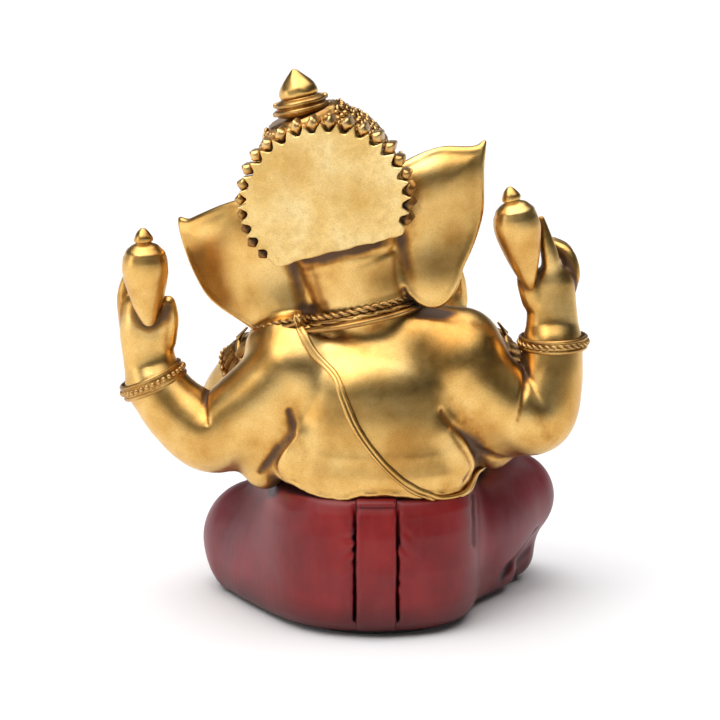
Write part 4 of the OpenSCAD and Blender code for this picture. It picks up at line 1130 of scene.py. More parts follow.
# ------------------------------------------------------------------ how enclosed each point is
class Sampled:
    """Distances on a coarse grid, read back by blending the eight nearest values."""

    def __init__(s, fields, lo, hi, h):
        s.lo, s.h = A(lo), h
        B = 8
        nb = np.ceil((A(hi) - s.lo) / (h * B)).astype(int)
        s.dims = nb * B
        s.g = np.full(s.dims, 30.0, F32)
        idx = np.stack(np.meshgrid(*[np.arange(n) for n in nb], indexing="ij"), -1).reshape(-1, 3)
        ax = np.arange(B) * h
        cell = np.stack(np.meshgrid(ax, ax, ax, indexing="ij"), -1).reshape(-1, 3)

        mid = (s.lo + (idx * B + (B - 1) / 2) * h).astype(F32)
        half = B * h * math.sqrt(3) / 2
        reach = 11.0
        kept = []
        d0 = np.full(len(mid), 99, F32)
        for f in fields:
            parts = f.parts(mid)
            kept.append(parts < half * 1.2 + reach)
            d0 = np.minimum(d0, f.f(mid))

        def job(k):
            P = (s.lo + idx[k] * B * h + cell).astype(F32)
            v = np.full(len(P), 30, F32)
            for f, use in zip(fields, kept):
                if use[:, k].any():
                    v = np.minimum(v, f.f(P, use[:, k]))
            return idx[k] * B, v.reshape(B, B, B)
        close = np.abs(d0) < half * 1.3 + reach
        for k in np.nonzero(~close)[0]:
            o = idx[k] * B
            s.g[o[0]:o[0] + B, o[1]:o[1] + B, o[2]:o[2] + B] = d0[k]
        with ThreadPoolExecutor(4) as ex:
            for o, v in ex.map(job, np.nonzero(close)[0]):
                s.g[o[0]:o[0] + B, o[1]:o[1] + B, o[2]:o[2] + B] = v

    def __call__(s, P):
        Q = (P - s.lo) / s.h
        Q = np.clip(Q, 0, np.array(s.dims) - 1.001)
        i = Q.astype(int)
        f = Q - i
        out = 0
        for dx in (0, 1):
            for dy in (0, 1):
                for dz in (0, 1):
                    w = (f[:, 0] if dx else 1 - f[:, 0]) * (f[:, 1] if dy else 1 - f[:, 1]) * (f[:, 2] if dz else 1 - f[:, 2])
                    out = out + w * s.g[i[:, 0] + dx, i[:, 1] + dy, i[:, 2] + dz]
        return out


def plate_zone(P):
    """The crown, roughly, for shading only: its back plate and the dome in front of it."""
    x, z = P[:, 0] / 24.5, (P[:, 2] - 33.6) / 22.2
    rim = (np.sqrt(x * x + z * z) - 1) * 22
    d1 = np.maximum(np.maximum(rim, 18.4 - P[:, 2]), np.abs(P[:, 1] - 14.0) - 1.9)
    r = np.hypot(P[:, 0], P[:, 1] + 3)
    d2 = np.maximum(np.maximum(r - 20.5 + np.maximum(P[:, 2] - 44, 0) * 0.75, 23.5 - P[:, 2]), P[:, 2] - 60)
    return np.minimum(d1, d2).astype(F32)


crown_zone = Field()
crown_zone.add("crown", Local(Fn(plate_zone)), 0)
LO, HI = [-64, -66, -4], [84, 50, 166]
around = Sampled([gold, red, crown_zone], LO, HI, 1.7)
DARK = []      # lines beside which brown antiquing and painted shade darken the surface: points, reach in mm, strength


def enclosed(V, Nn):
    o = np.zeros(len(V))
    for step, w in ((1.6, 0.9), (3.2, 0.8), (6.0, 0.6), (10.0, 0.35)):
        d = around(V + Nn * step)
        o += w * np.clip((step - d) / step, 0, 1)
    return o / 2.65


def near_line(V, line, reach):
    """1 on the line, fading to 0 at reach."""
    C = A(line)
    lo, hi = C.min(0) - reach, C.max(0) + reach
    m = np.nonzero(((V > lo) & (V < hi)).all(1))[0]
    out = np.zeros(len(V))
    if len(m):
        best = np.full(len(m), 1e9)
        for a, b in zip(C[:-1], C[1:]):
            e = b - a
            v = V[m] - a
            t = np.clip(v @ e / max(e @ e, 1e-9), 0, 1)
            best = np.minimum(best, ((v - t[:, None] * e) ** 2).sum(1))
        out[m] = np.clip(1 - np.sqrt(best) / reach, 0, 1)
    return out


def wash_and_painted_light_of(V, Nn, curve, gain=1.0, ao_from=0.15, ao_gain=2.1):
    # dark: brown antiquing with painted shade, from how enclosed the point is, how hollow the surface is and the dark
    # lines; edge: edge wear with painted highlight on convex edges away from enclosed places
    ao = enclosed(V, Nn)
    dark = np.clip((ao - ao_from) * ao_gain, 0, 1) + np.clip(curve * 1.5 - 0.10, 0, 0.9) * gain
    for line, reach, k in DARK:
        dark = dark + k * near_line(V, line, reach) ** 1.3
    edge = np.clip(-curve * 1.1 - 0.16, 0, 1) * np.clip(1 - ao * 2.2, 0, 1)
    return np.stack([np.clip(dark, 0, 1), np.clip(edge, 0, 1), np.zeros(len(V))], 1)


def cap_loops(V, faces, Nn, field):
    """Closes the open edges of a piece of surface with walls that dive well inside the material."""
    e = np.concatenate([faces[:, [0, 1]], faces[:, [1, 2]], faces[:, [2, 3]], faces[:, [3, 0]]])
    big = int(e.max()) + 1
    key = e[:, 0] * big + e[:, 1]
    back = e[:, 1] * big + e[:, 0]
    open_e = e[~np.isin(key, back)]
    if not len(open_e):
        return V, np.zeros((0, 3), np.int64)
    ids, inv = np.unique(open_e, return_inverse=True)
    inv = inv.reshape(-1, 2)
    comp = components(len(ids), inv)

    def sink(P, deep):
        for _ in range(3):
            d = field.f(P.astype(F32))
            P = P - gradient(field, P) * np.maximum(0, d + deep)[:, None]
        return P
    tris = []
    for c in np.unique(comp):
        m = comp[inv[:, 0]] == c
        loop = np.unique(open_e[m])
        at = {v: i for i, v in enumerate(loop)}
        centre = sink(V[loop].mean(0)[None], 1.4)
        r1 = V[loop] - Nn[loop] * 0.8
        r2 = sink(0.5 * (V[loop] + centre), 1.0)
        n0 = len(V)
        n = len(loop)
        V = np.concatenate([V, r1, r2, centre])
        a = np.array([at[v] for v in open_e[m, 1]])
        b = np.array([at[v] for v in open_e[m, 0]])
        tris += [np.stack([loop[a], loop[b], n0 + b], 1), np.stack([loop[a], n0 + b, n0 + a], 1),
                 np.stack([n0 + a, n0 + b, n0 + n + b], 1), np.stack([n0 + a, n0 + n + b, n0 + n + a], 1),
                 np.stack([n0 + n + a, n0 + n + b, np.full(len(a), n0 + 2 * n)], 1)]
    return V, np.concatenate(tris)


def castings(field, names, lo, hi, h, slots, floor_z=None, ao_from=0.15, ao_gain=2.1, gain=1.2, blur=1):
    """Meshes a field once and shares its surface out between named pieces, each closed at its joints, so that no seam shows."""
    V, Q = mesh_field(field, lo, hi, h, blur, floor_z)
    a, b, c = V[Q[:, 0]], V[Q[:, 1]], V[Q[:, 2]]
    if np.einsum("ij,ij->i", a, np.cross(b, c)).sum() < 0:
        Q = Q[:, ::-1].copy()
    pairs = face_pairs(Q)
    comp = components(len(Q), pairs)
    big = np.bincount(comp).argmax()
    Q = Q[comp == big]
    used = np.unique(Q)
    re = np.zeros(len(V), np.int64)
    re[used] = np.arange(len(used))
    V, Q = V[used], re[Q]
    V = relax(V, Q, 3)
    if floor_z is not None:
        V[:, 2] = np.maximum(V[:, 2], floor_z)
    Nn = vertex_normals(V, Q)
    curve = hollow(V, Q, Nn, 2) * 1.0
    P = wash_and_painted_light_of(V, Nn, curve, gain, ao_from, ao_gain)
    if len(names) > 1:
        who = field.owner(V[Q].mean(1).astype(F32), names)
        who = tidy_owner(Q, who, len(names))
    else:
        who = np.zeros(len(Q), np.int32)
    out = {}
    for i, name in enumerate(names):
        F = Q[who == i]
        if not len(F):
            continue
        used = np.unique(F)
        re[used] = np.arange(len(used))
        v, f = V[used], re[F]
        v2, tris = cap_loops(v, f, Nn[used], field)
        extra = len(v2) - len(v)
        nn = np.concatenate([Nn[used], np.tile([[0, 0, -1.0]], (extra, 1))]) if extra else Nn[used]
        pp = np.concatenate([P[used], np.zeros((extra, 3))]) if extra else P[used]
        out[name] = obj_from(name, v2, f, slots[name] if isinstance(slots, dict) else slots, normals=nn, wash_and_painted_light=pp, tris=tris)
    return out


# the cord that is worn across the body, laid on the skin
TH = [[22.6, 14.2, 91.2], [22.0, 18.8, 88.6], [18.0, 24, 83.2], [13.1, 28, 77], [9.7, 30, 69.4], [6, 31, 61.6], [1.8, 32, 55.4], [-4.5, 32, 48.3], [-11.1, 31, 43], [-16.8, 28.5, 40.4], [-22.4, 24.5, 39.4], [-27.6, 18, 40.6],
      [-31.4, 6, 43.4], [-32.6, -8, 44], [-29.5, -21, 45], [-21.5, -32, 47.5], [-10, -38.6, 52], [0, -38.8, 58], [8, -33.7, 65], [13, -24.4, 73], [16.4, -14.4, 81], [18, -9.4, 85.6]]
cord_line = spline(TH, 9)
body = cord_line[6:-6]
body = on_skin(gold, body, 0.42, 4)
for _ in range(3):
    body[1:-1] = 0.5 * body[1:-1] + 0.25 * (body[:-2] + body[2:])
cord_line = np.concatenate([cord_line[:6], body, cord_line[-6:]])
# Each line below darkens the surface beside it, brown antiquing with painted shade: beside the cord, round the neck and
# collar, in the armpits and in the skin creases
DARK.append((cord_line[2:110], 2.1, 0.42))
neck_ring = [[5.4 + 16 * math.cos(t), 4.4 + 16 * math.sin(t) * 1.0, 92.2 - 1.2 * math.cos(t)] for t in np.linspace(-0.8, math.pi + 0.8, 40)]
DARK.append((neck_ring, 3.0, 0.75))
collar_ring = [[5 + 19.4 * math.cos(t), 3.4 + 19.4 * math.sin(t), 89 - 1.6 * math.cos(t) + 1.2 * math.sin(t)] for t in np.linspace(-0.8, math.pi + 0.8, 40)]
DARK.append((collar_ring, 2.8, 0.62))
DARK.append(([[-28.6, 19.5, 52], [-29.6, 17, 47.4]], 5.0, 0.30))
DARK.append(([[22.5, 24.2, 58], [21.2, 26.2, 51.5]], 5.5, 0.26))
DARK.append(([[33.6, 12, 45], [30.6, 17, 44.5]], 4.5, 0.45))
DARK.append(([[-43.6, 17, 60], [-47.5, 16, 57.4]], 5.0, 0.34))
for C, reach, k in zip(CREASES, (1.5, 1.4, 1.6, 1.4, 1.4, 1.4), (0.45, 0.45, 0.32, 0.2, 0.45, 0.45)):
    DARK.append((C, reach, k))
# painted shade in the pockets under the conches, between the fingers and in the elbow crease
HAND_LINES = [([[70.4, 11, 91.3], [68.8, 11, 88.1], [65.9, 11, 86.3], [63, 11, 87.8], [60.3, 11, 92.2]], 2.8, 0.9),
              ([[60.2, 12, 91.5], [60.1, 12, 84.2], [59.6, 12, 76.8]], 2.4, 0.4),
              ([[72.5, 6, 99.8], [73.8, 6, 93.3], [74.2, 6, 87.4]], 2.6, 0.5),
              ([[-39.2, 9, 104.7], [-41, 9, 100.3], [-43.7, 9, 97.7], [-45.7, 9, 99.5]], 2.8, 0.85),
              ([[-47.4, 8, 118.8], [-46.2, 8, 108.4], [-45.7, 8, 99.3]], 1.8, 0.6),
              ([[-53.2, 4, 106.5], [-54.2, 4, 98.9], [-53.8, 4, 90]], 2.4, 0.75),
              ([[-56.6, 2, 103.9], [-58, 2, 94.4], [-57, 2, 85.1]], 2.4, 0.7),
              ([[-44.6, 16, 62.6], [-46.6, 15, 59.4], [-48.6, 14, 57]], 4.5, 0.3)]
for C, reach, k in HAND_LINES:
    C = spline(np.hstack([A(C), np.zeros((len(C), 1))]), 5)[:, :3]
    DARK.append((on_skin(gold, C, 0, 4), reach, k))
# painted shade along the sides of the neck, under the crown plate and at the base of the neck
for C, reach, k in zip(NECK_LINES, (3.6, 3.2, 2.4, 2.8), (0.78, 0.72, 0.35, 0.6)):
    DARK.append((C, reach, k))
# painted shade under the hem of the torso
hx = np.linspace(-26, 26, 40)
hem_line = on_skin(gold, np.stack([hx, 7.4 + 24.6 * (1 - (np.abs(hx) / 28.7) ** 2.3) ** (1 / 2.3), hem_height(hx) + 2.2], 1), 0, 4)
DARK.append((hem_line, 1.1, 0.22))
# painted shade in the recess along both edges of the back strip
for sd in (-1, 1):
    DARK.append(([[sd * 6.2, 35.5, z] for z in (6, 14, 22, 30, 40)], 1.7, 0.9))
# painted shade along the folds of the cloth
for C, reach, k in zip(RED_LINES, (3.2, 2.2, 2.2, 2.4, 1.8, 5.0), (0.8, 0.6, 0.12, 0.25, 0.1, 0.5)):
    DARK.append((C, reach, k))

GOLD_NAMES = ["torso", "rear_left_arm", "rear_right_arm", "front_left_arm", "front_right_arm", "rear_left_hand", "rear_right_hand",
              "front_left_hand", "front_right_hand", "head", "trunk", "left_ear", "right_ear"]
H = 0.45
castings(gold, GOLD_NAMES, [-64, -60, 20], [80, 38, 144], H, "gold_paint")
castings(red, ["seat", "left_leg", "right_leg"], [-60, -56, 0], [58, 42, 46], H, "red_paint", floor_z=1.2, ao_from=0.20, ao_gain=1.5, gain=0.8)



# feet, each with its toes and nails
for side, line, toes in (("left", [[11, -41.6, 7.6, 5.2], [0, -46, 6.4, 5], [-9, -48, 6, 4.7]], [([-14.2 + 0.7 * i, -51.5 + 1.9 * i, 5.6 - 0.5 * i], [2.5, 1.5 - 0.1 * i, 1.9 - 0.12 * i]) for i in range(5)]),
                         ("right", [[-37, -36, 9, 5.4], [-35.5, -44, 6.4, 5.2], [-34, -50, 5.8, 4.8]], [([-30.6 - 1.95 * i, -55.3 + 0.6 * i, 5 - 0.5 * i], [1.5 - 0.1 * i, 2.5, 1.9 - 0.12 * i]) for i in range(5)])):
    foot = Field()
    nm = side + "_foot"
    foot.add(nm, Limb(line, 6), 0)
    for i, (c, r) in enumerate(toes):
        foot.add(nm, Blob(c, r), 0.9)
        nail = A(c) + (A([-0.9, 0, r[2] * 0.62]) if side == "left" else A([0, -0.9, r[2] * 0.62]))
        foot.add(nm, Blob(nail, [x * (0.62 if k != 2 else 0.42) for k, x in enumerate(r)]), 0.25)
    lo = A([min(c[k] for c, r in toes) for k in range(3)]) - 7
    hi = A([max(max(c[k] for c, r in toes), max(q[k] for q in line)) for k in range(3)]) + 8
    lo = np.minimum(lo, A(line)[:, :3].min(0) - 7)
    castings(foot, [nm], [lo[0], lo[1], 0], hi, 0.3, "gold_paint", floor_z=1.2, ao_from=0.3, ao_gain=1.2, gain=1.0)


# ------------------------------------------------------------------ small parts
def plain_wash_and_painted_light(V, F, gain=1.0, ao_from=0.25, ao_gain=1.2, extra=None):
    """Brown antiquing with painted shade, and edge wear with painted highlight, for a mesh built from given points:
    from its own hollows and from what stands around it.
    """
    V = A(V)
    tri = [(f[0], f[i], f[i + 1]) for f in F for i in range(1, len(f) - 1)]
    T = np.array(tri)
    Nn = vertex_normals(V, T)
    e = np.concatenate([T[:, [0, 1]], T[:, [1, 2]], T[:, [2, 0]]])
    e = np.concatenate([e, e[:, ::-1]])
    n = np.maximum(np.bincount(e[:, 0], minlength=len(V)), 1)
    S = np.stack([np.bincount(e[:, 0], V[e[:, 1], k], minlength=len(V)) for k in range(3)], 1) / n[:, None]
    L = np.bincount(e[:, 0], np.linalg.norm(V[e[:, 1]] - V[e[:, 0]], axis=1), minlength=len(V)) / n
    c = ((S - V) * Nn).sum(1) / np.maximum(L, 1e-6)
    c = 0.5 * c + 0.5 * np.bincount(e[:, 0], c[e[:, 1]], minlength=len(V)) / n
    ao = enclosed(V, Nn)
    dark = np.clip(c * 3.0 * gain, 0, 0.9) + np.clip((ao - ao_from) * ao_gain, 0, 0.8)
    if extra is not None:
        dark = dark + extra
    edge = np.clip(-c * 2.2 - 0.1, 0, 1)
    return np.stack([np.clip(dark, 0, 1), np.clip(edge, 0, 1), np.zeros(len(V))], 1)


def piece(name, parts, slot, sharp=None, gain=1.0, ao_from=0.25, ao_gain=1.2, replaces=None, extra=None, tone=None):
    V, F = merged(parts) if isinstance(parts, list) else parts
    V = A(V)
    pat = plain_wash_and_painted_light(V, F, gain, ao_from, ao_gain, extra)
    if tone is not None:
        # tone adds painted shade and painted highlight
        dark, brightening = tone(V)
        pat[:, 0] = np.clip(pat[:, 0] + dark, 0, 1)
        pat[:, 1] = np.clip(pat[:, 1] + brightening, 0, 1)
    return obj_from(name, V, F, slot, replaces=replaces, wash_and_painted_light=pat, sharp=sharp)


# body cord: two strands laid side by side, flattened against the skin
def skin_up(line):
    g = gradient(gold, line)
    for _ in range(4):
        g[1:-1] = g[1:-1] * 0.5 + 0.25 * (g[:-2] + g[2:])
    return g


ups = skin_up(cord_line)
def strap(i, s_, th):
    """Two strands laid side by side, the groove between them wandering a little."""
    w = 1.22 + 0.10 * math.sin(s_ * 0.21) + 0.05 * math.sin(s_ * 0.9)
    x = w * np.cos(th)
    y = np.sign(np.sin(th)) * np.abs(np.sin(th)) ** 0.75
    y = np.where(y > 0, 0.86 * y, 0.7 * y)
    g = x - 0.18 * math.sin(s_ * 0.13) - 0.1
    return x, y - np.where(y > 0, 0.42 * np.exp(-(g / 0.26) ** 2), 0)


piece("body_cord", sweep(cord_line, strap, up=lambda i: ups[i], n=36), "gold_paint", gain=1.5, ao_from=0.6)


def ring_path(centre, M, r, n, a0=0.0, a1=2 * math.pi, closed=True, wobble=None):
    t = np.linspace(a0, a1, n, endpoint=not closed)
    P = np.stack([r * np.cos(t), r * np.sin(t), np.zeros(n)], 1)
    if wobble is not None:
        P[:, 2] += wobble(t)
    return P @ M.T + A(centre), t


def braid(centre, M, r, R, k, pitch, n, a0=0.0, a1=2 * math.pi, closed=True, wide=1.0, tall=1.0, deep=0.55, sides=16):
    P, t = ring_path(centre, M, r, n, a0, a1, closed)
    up = [(A([math.cos(x), math.sin(x), 0]) @ M.T) for x in t]
    L = (a1 - a0) * r
    if closed:
        pitch = L / max(1, round(L / pitch))
    return sweep(P, strands(R, k, pitch, wide, tall, 0, deep), closed=closed, up=lambda i: up[i], n=sides)


NM = ry(11.5) @ rx(4)
gapa = math.asin(9.4 / 19.4)
over = [head_pt([14, 9, -4.4]), A([21.5, 15.2, 88.2]), A([25.4, 13.6, 87.0]), A([29.2, 11.4, 86.0]), A([33.2, 8.6, 84.4]), A([36.0, 4.4, 83.4])]
over1 = spline(over, 10)
rnd = lambda R: (lambda i, s_, th: (R * np.cos(th), R * np.sin(th)))
piece("collar", [braid([5, 3.4, 88.2], NM, 19.1, 0.95, 1, 60, 150, -math.pi / 2 + gapa, 1.5 * math.pi - gapa, False, 1.0, 1.3, 0.02),
                 braid([5.05, 3.5, 89.7], NM, 18.0, 0.62, 2, 12, 260, -math.pi / 2 + gapa, 1.5 * math.pi - gapa, False, 1.0, 1.0, 0.4),
                 sweep(over1, rnd(0.78), ref=[0.3, 0.9, 0.5], n=12), sweep(over1 + A([-0.3, 0.1, 1.7]), strands(0.8, 2, 5, deep=0.5), ref=[0.3, 0.9, 0.5], n=14)], "antique_gold_paint", gain=0.9)
gapn = math.asin(8.4 / 16)
piece("neck_cord", [braid([5.4, 4.4, 91.6], NM, 15.95, 1.12, 2, 5.2, 420, -math.pi / 2 + gapn, 1.5 * math.pi - gapn, False, 1.0, 1.0, 0.56, 18),
                    braid([5.4, 4.4, 90.0], NM, 15.9, 0.6, 1, 60, 160, -math.pi / 2 + gapn, 1.5 * math.pi - gapn, False, 1.0, 1.0, 0.02, 12)], "antique_gold_paint", gain=1.0)

# the strip of cloth that hangs down the back, tucked under the waist at the top
def strip_mesh():
    zs = np.concatenate([np.linspace(1.25, 38.6, 60), np.linspace(38.9, 42.2, 16)])
    ang = np.linspace(-1, 1, 27)
    V, F = [], []
    for z in zs:
        a, b = seat_row(np.array([z], F32))
        a, b = float(a[0]), float(b[0])
        hw = 5.78 + 0.10 * math.sin(z * 0.31 + 1) + 0.05 * math.sin(z * 1.3)
        top = max(0.0, (z - 39.0) / 3.2)
        foot = max(0.0, (2.4 - z) / 1.4)
        for u in ang:
            x = hw * u
            y = 8 + b * (1 - (abs(x) / a) ** 2.44) ** (1 / 2.44) + 0.55
            y -= 0.75 * abs(u) ** 9 + 0.25 * foot ** 2
            y += 0.16 * math.exp(-((abs(u) - 0.86) / 0.07) ** 2) + 0.05 * math.sin(z * 0.5 + u * 3)
            y += 0.45 * math.exp(-((z - 40.2) / 0.9) ** 2) - 2.6 * top ** 2.2
            y -= 0.22 * math.exp(-((z - 38.4) / 0.5) ** 2)
            V.append([x, y, z])
    n, m = len(ang), len(zs)
    base = n * m
    for k, z in enumerate(zs):
        a, b = seat_row(np.array([z], F32))
        yb = 8 + float(b[0]) - 2.6 - (2.2 * max(0, (z - 39) / 3.2))
        for u in ang:
            V.append([5.78 * u, yb, z])
    for i in range(m - 1):
        for j in range(n - 1):
            a = i * n + j
            F.append((a, a + n, a + n + 1, a + 1))
            F.append((base + a, base + a + 1, base + a + n + 1, base + a + n))
        F.append((i * n, base + i * n, base + i * n + n, i * n + n))
        a = i * n + n - 1
        F.append((a, a + n, base + a + n, base + a))
    F.append(tuple(range(0, n)) + tuple(range(base + n - 1, base - 1, -1)))
    F.append(tuple(range((m - 1) * n + n - 1, (m - 1) * n - 1, -1)) + tuple(range(base + (m - 1) * n, base + m * n)))
    V = A(V)
    return V, outward(V, F)


sv_, sf_ = strip_mesh()
# painted shade along the strip's side edges, under its tucked top and towards the floor
strip_painted_shade = np.zeros(len(sv_))
strip_painted_shade += 0.55 * np.exp(-((5.9 - np.abs(sv_[:, 0])) / 0.45) ** 2) + 0.5 * np.exp(-((sv_[:, 2] - 38.4) / 0.5) ** 2) + 0.6 * np.clip((3.2 - sv_[:, 2]) / 2, 0, 1)
piece("back_strip", (sv_, sf_), "red_paint", sharp=60, gain=0.5, ao_from=0.5, extra=strip_painted_shade)

# the pleated end of the cloth that falls between the feet
def pleat_mesh():
    R = spline([[-1, -36.6, 27, 4, 3], [-1.4, -42.4, 23.4, 5, 2.8], [-2.2, -48.6, 17.6, 6.4, 2.6], [-3, -53, 9.6, 8, 2.4], [-3.3, -54.5, 4.2, 9.1, 2.4], [-3.35, -54.6, 1.35, 9.5, 2.4]], 9)
    us = np.linspace(-1, 1, 57)
    m, n = len(R), len(us)
    V, F = [], []
    for side in (0, 1):
        for i, (x, y, z, hw, t) in enumerate(R):
            k = min(1.0, i / 12)
            for u in us:
                fold = abs(((u * 3.5 + 0.25) % 1) - 0.5) * 2
                fold = fold ** 1.5
                depth = (0.5 + 1.1 * i / m) * k * fold
                edge = 0.5 * t * max(0.0, (abs(u) - 0.93) / 0.07) ** 2
                if side == 0:
                    V.append([x + u * hw, y - t / 2 - 0.5 + depth + edge, max(z + 0.35 * fold * (i > m - 6), 1.25)])
                else:
                    V.append([x + u * hw, y + t / 2 - edge * 0.6, max(z, 1.25)])
    b = m * n
    for i in range(m - 1):
        for j in range(n - 1):
            a = i * n + j
            F.append((a, a + n, a + n + 1, a + 1))
            F.append((b + a, b + a + 1, b + a + n + 1, b + a + n))
        F.append((i * n, b + i * n, b + i * n + n, i * n + n))
        a = i * n + n - 1
        F.append((a, a + n, b + a + n, b + a))
    for r in (0, m - 1):
        for j in range(n - 1):
            a = r * n + j
            F.append((a, a + 1, b + a + 1, b + a) if r == 0 else (a, b + a, b + a + 1, a + 1))
    V = A(V)
    return V, outward(V, F)


pm_v, pm_f = pleat_mesh()
piece("front_pleat", (pm_v, pm_f), "red_paint", sharp=70, gain=1.2, ao_from=0.4)

# pendant at the throat
pm = rx(78)
pv = lathe([[0, 0], [3.3, 0], [3.6, 0.35], [3.6, 1.2], [3.3, 1.6], [2.5, 1.65], [2.35, 1.9], [1.9, 2.5], [1.0, 2.8], [0, 2.85]], 40, M=pm, t=(4, -22.3, 83.4))
pend = [pv]
for k in range(14):
    a = 2 * math.pi * k / 14
    pend.append(ball(A([3.0 * math.cos(a), 3.0 * math.sin(a), 1.65]) @ pm.T + A([4, -22.3, 83.4]), 0.5, n=8, m=4))
piece("pendant", pend, "gold_paint", sharp=40)


def bangle(name, wrist, r, t, rows):
    """rows of [kind, offset along the axis, radius offset, thickness]"""
    M = toward(wrist[1])
    c = A(wrist[0])
    parts = []
    for kind, dz, dr, th in rows:
        cc = c + A([0, 0, dz]) @ M.T
        if kind == "rim":
            parts.append(braid(cc, M, r + dr, th, 1, 50, 96, wide=1.0, tall=1.0, deep=0.02, sides=14))
        elif kind == "twist":
            parts.append(braid(cc, M, r + dr, th, 2, th * 4.2, 240, deep=0.5, sides=14))
        elif kind == "beads":
            n = int(2 * math.pi * (r + dr) / (th * 2.05))
            for k in range(n):
                a = 2 * math.pi * k / n
                parts.append(ball(cc + A([(r + dr) * math.cos(a), (r + dr) * math.sin(a), 0]) @ M.T, th, n=10, m=6))
        elif kind == "band":
            P, tt = ring_path(cc, M, r + dr, 96)
            up = [(A([math.cos(x), math.sin(x), 0]) @ M.T) for x in tt]
            hw, ht = th
            n4 = 20
            ang = np.arange(n4) * 2 * math.pi / n4

            def sec(i, s_, q, hw=hw, ht=ht):
                return np.sign(np.cos(q)) * np.abs(np.cos(q)) ** 0.5 * hw, np.sign(np.sin(q)) * np.abs(np.sin(q)) ** 0.6 * ht
            parts.append(sweep(P, sec, closed=True, up=lambda i: up[i], n=n4))
    return piece(name, parts, "antique_gold_paint", gain=0.9, ao_from=0.45)


bangle("rear_left_bangle", WRIST["rear_left"], 8.8, 3.2, [("band", 0, 0.1, (1.75, 0.95)), ("rim", 1.75, 0.55, 0.62), ("rim", -1.75, 0.65, 0.72), ("beads", 0.1, 1.0, 0.86)])
bangle("rear_right_bangle", WRIST["rear_right"], 8.8, 3.2, [("band", 0, 0.0, (1.5, 0.9)), ("rim", 1.45, 0.75, 0.62), ("twist", 0.1, 0.95, 0.98), ("rim", -1.4, 0.6, 0.66)])
bangle("front_left_bangle", WRIST["front_left"], 6.5, 2.6, [("band", 0, 0.0, (1.4, 0.8)), ("rim", 1.25, 0.55, 0.5), ("twist", 0, 0.75, 0.8), ("rim", -1.25, 0.55, 0.5)])
bangle("front_right_bangle", WRIST["front_right"], 6.4, 2.6, [("band", 0, 0.0, (1.4, 0.8)), ("rim", 1.25, 0.55, 0.5), ("beads", 0, 0.75, 0.7), ("rim", -1.25, 0.55, 0.5)])
bangle("left_anklet", ANKLE["left"], 6.9, 2.4, [("band", 0, 0.0, (1.2, 0.8)), ("rim", 1.1, 0.5, 0.45), ("beads", 0, 0.7, 0.66), ("rim", -1.1, 0.5, 0.45)])
bangle("right_anklet", ANKLE["right"], 7.4, 2.4, [("band", 0, 0.0, (1.2, 0.8)), ("rim", 1.1, 0.5, 0.45), ("beads", 0, 0.7, 0.66), ("rim", -1.1, 0.5, 0.45)])


def petal(h, w, thick, M, t, rib=0.35, n=7):
    """A pointed leaf with a raised midrib and a rounded edge, standing on z = 0 and facing -Y."""
    rows = 12
    V, F = [], []
    for side in (0, 1):
        for i in range(rows + 1):
            s = i / rows
            half = w * (math.sin(math.pi * min(s * 0.86 + 0.14, 1)) ** 0.72) * (1 - 0.15 * s) + 0.02
            for j in range(n):
                u = -1 + 2 * j / (n - 1)
                y = thick * 0.5 * (1 - abs(u) ** 3) * (1 - 0.55 * s)
                y += rib * math.exp(-(u / 0.2) ** 2) * (1 - s) + rib * 0.6 * math.exp(-((abs(u) - 0.78) / 0.16) ** 2) * (1 - s)
                V.append([u * half, -y if side == 0 else thick * 0.35 * (1 - abs(u) ** 3), s * h])
    k = (rows + 1) * n
    for i in range(rows):
        for j in range(n - 1):
            a = i * n + j
            F.append((a, a + 1, a + n + 1, a + n))
            F.append((k + a, k + a + n, k + a + n + 1, k + a + 1))
        a, b = i * n, i * n + n - 1
        F.append((a, a + n, k + a + n, k + a))
        F.append((b, k + b, k + b + n, b + n))
    F.append(tuple(range(n - 1, -1, -1)) + tuple(range(k, k + n)))
    F.append(tuple(rows * n + j for j in range(n)) + tuple(k + rows * n + j for j in range(n - 1, -1, -1)))
    return A(V) @ M.T + A(t), F


def armlet(name, c, axis, r):
    """A tall arm ring with slanting grooves, a crest of petals and a bead row."""
    M = toward(axis)
    prof = [[0, -5], [r - 0.8, -5], [r + 0.6, -4.6], [r + 1.1, -3.8], [r + 0.75, -3.0], [r + 0.95, 0], [r + 0.75, 3.0], [r + 1.2, 3.8], [r + 0.7, 4.6], [r - 0.8, 5], [0, 5]]
    prof = [prof[0]] + [list(q) for q in spline(prof[1:-1], 3)] + [prof[-1]]

    def wave(th, z, rr):
        g = 1 if abs(z) < 3 else 0
        return 1 + g * 0.035 * np.sign(np.sin(th * 22 + z * 1.1)) * np.abs(np.sin(th * 22 + z * 1.1)) ** 0.6
    parts = [lathe(prof, 220, wave, M, c)]
    for k in range(9):
        a = 2 * math.pi * k / 9
        L = rz(math.degrees(a) + 90) @ rx(8)
        parts.append(petal(5.2, 1.9, 1.1, M @ L, A(c) + A([(r + 0.9) * math.cos(a), (r + 0.9) * math.sin(a), 3.4]) @ M.T))
    for k in range(30):
        a = 2 * math.pi * k / 30
        parts.append(ball(A(c) + A([(r + 1.1) * math.cos(a), (r + 1.1) * math.sin(a), -3.6]) @ M.T, 0.72, n=8, m=5))
    return piece(name, parts, "antique_gold_paint", gain=0.8, ao_from=0.4)


armlet("left_armlet", [35.2, -9.4, 68.8], [-0.62, 0.34, 0.62], 10.4)
armlet("right_armlet", [-33, -9.4, 70.6], [0.54, 0.34, 0.62], 10)


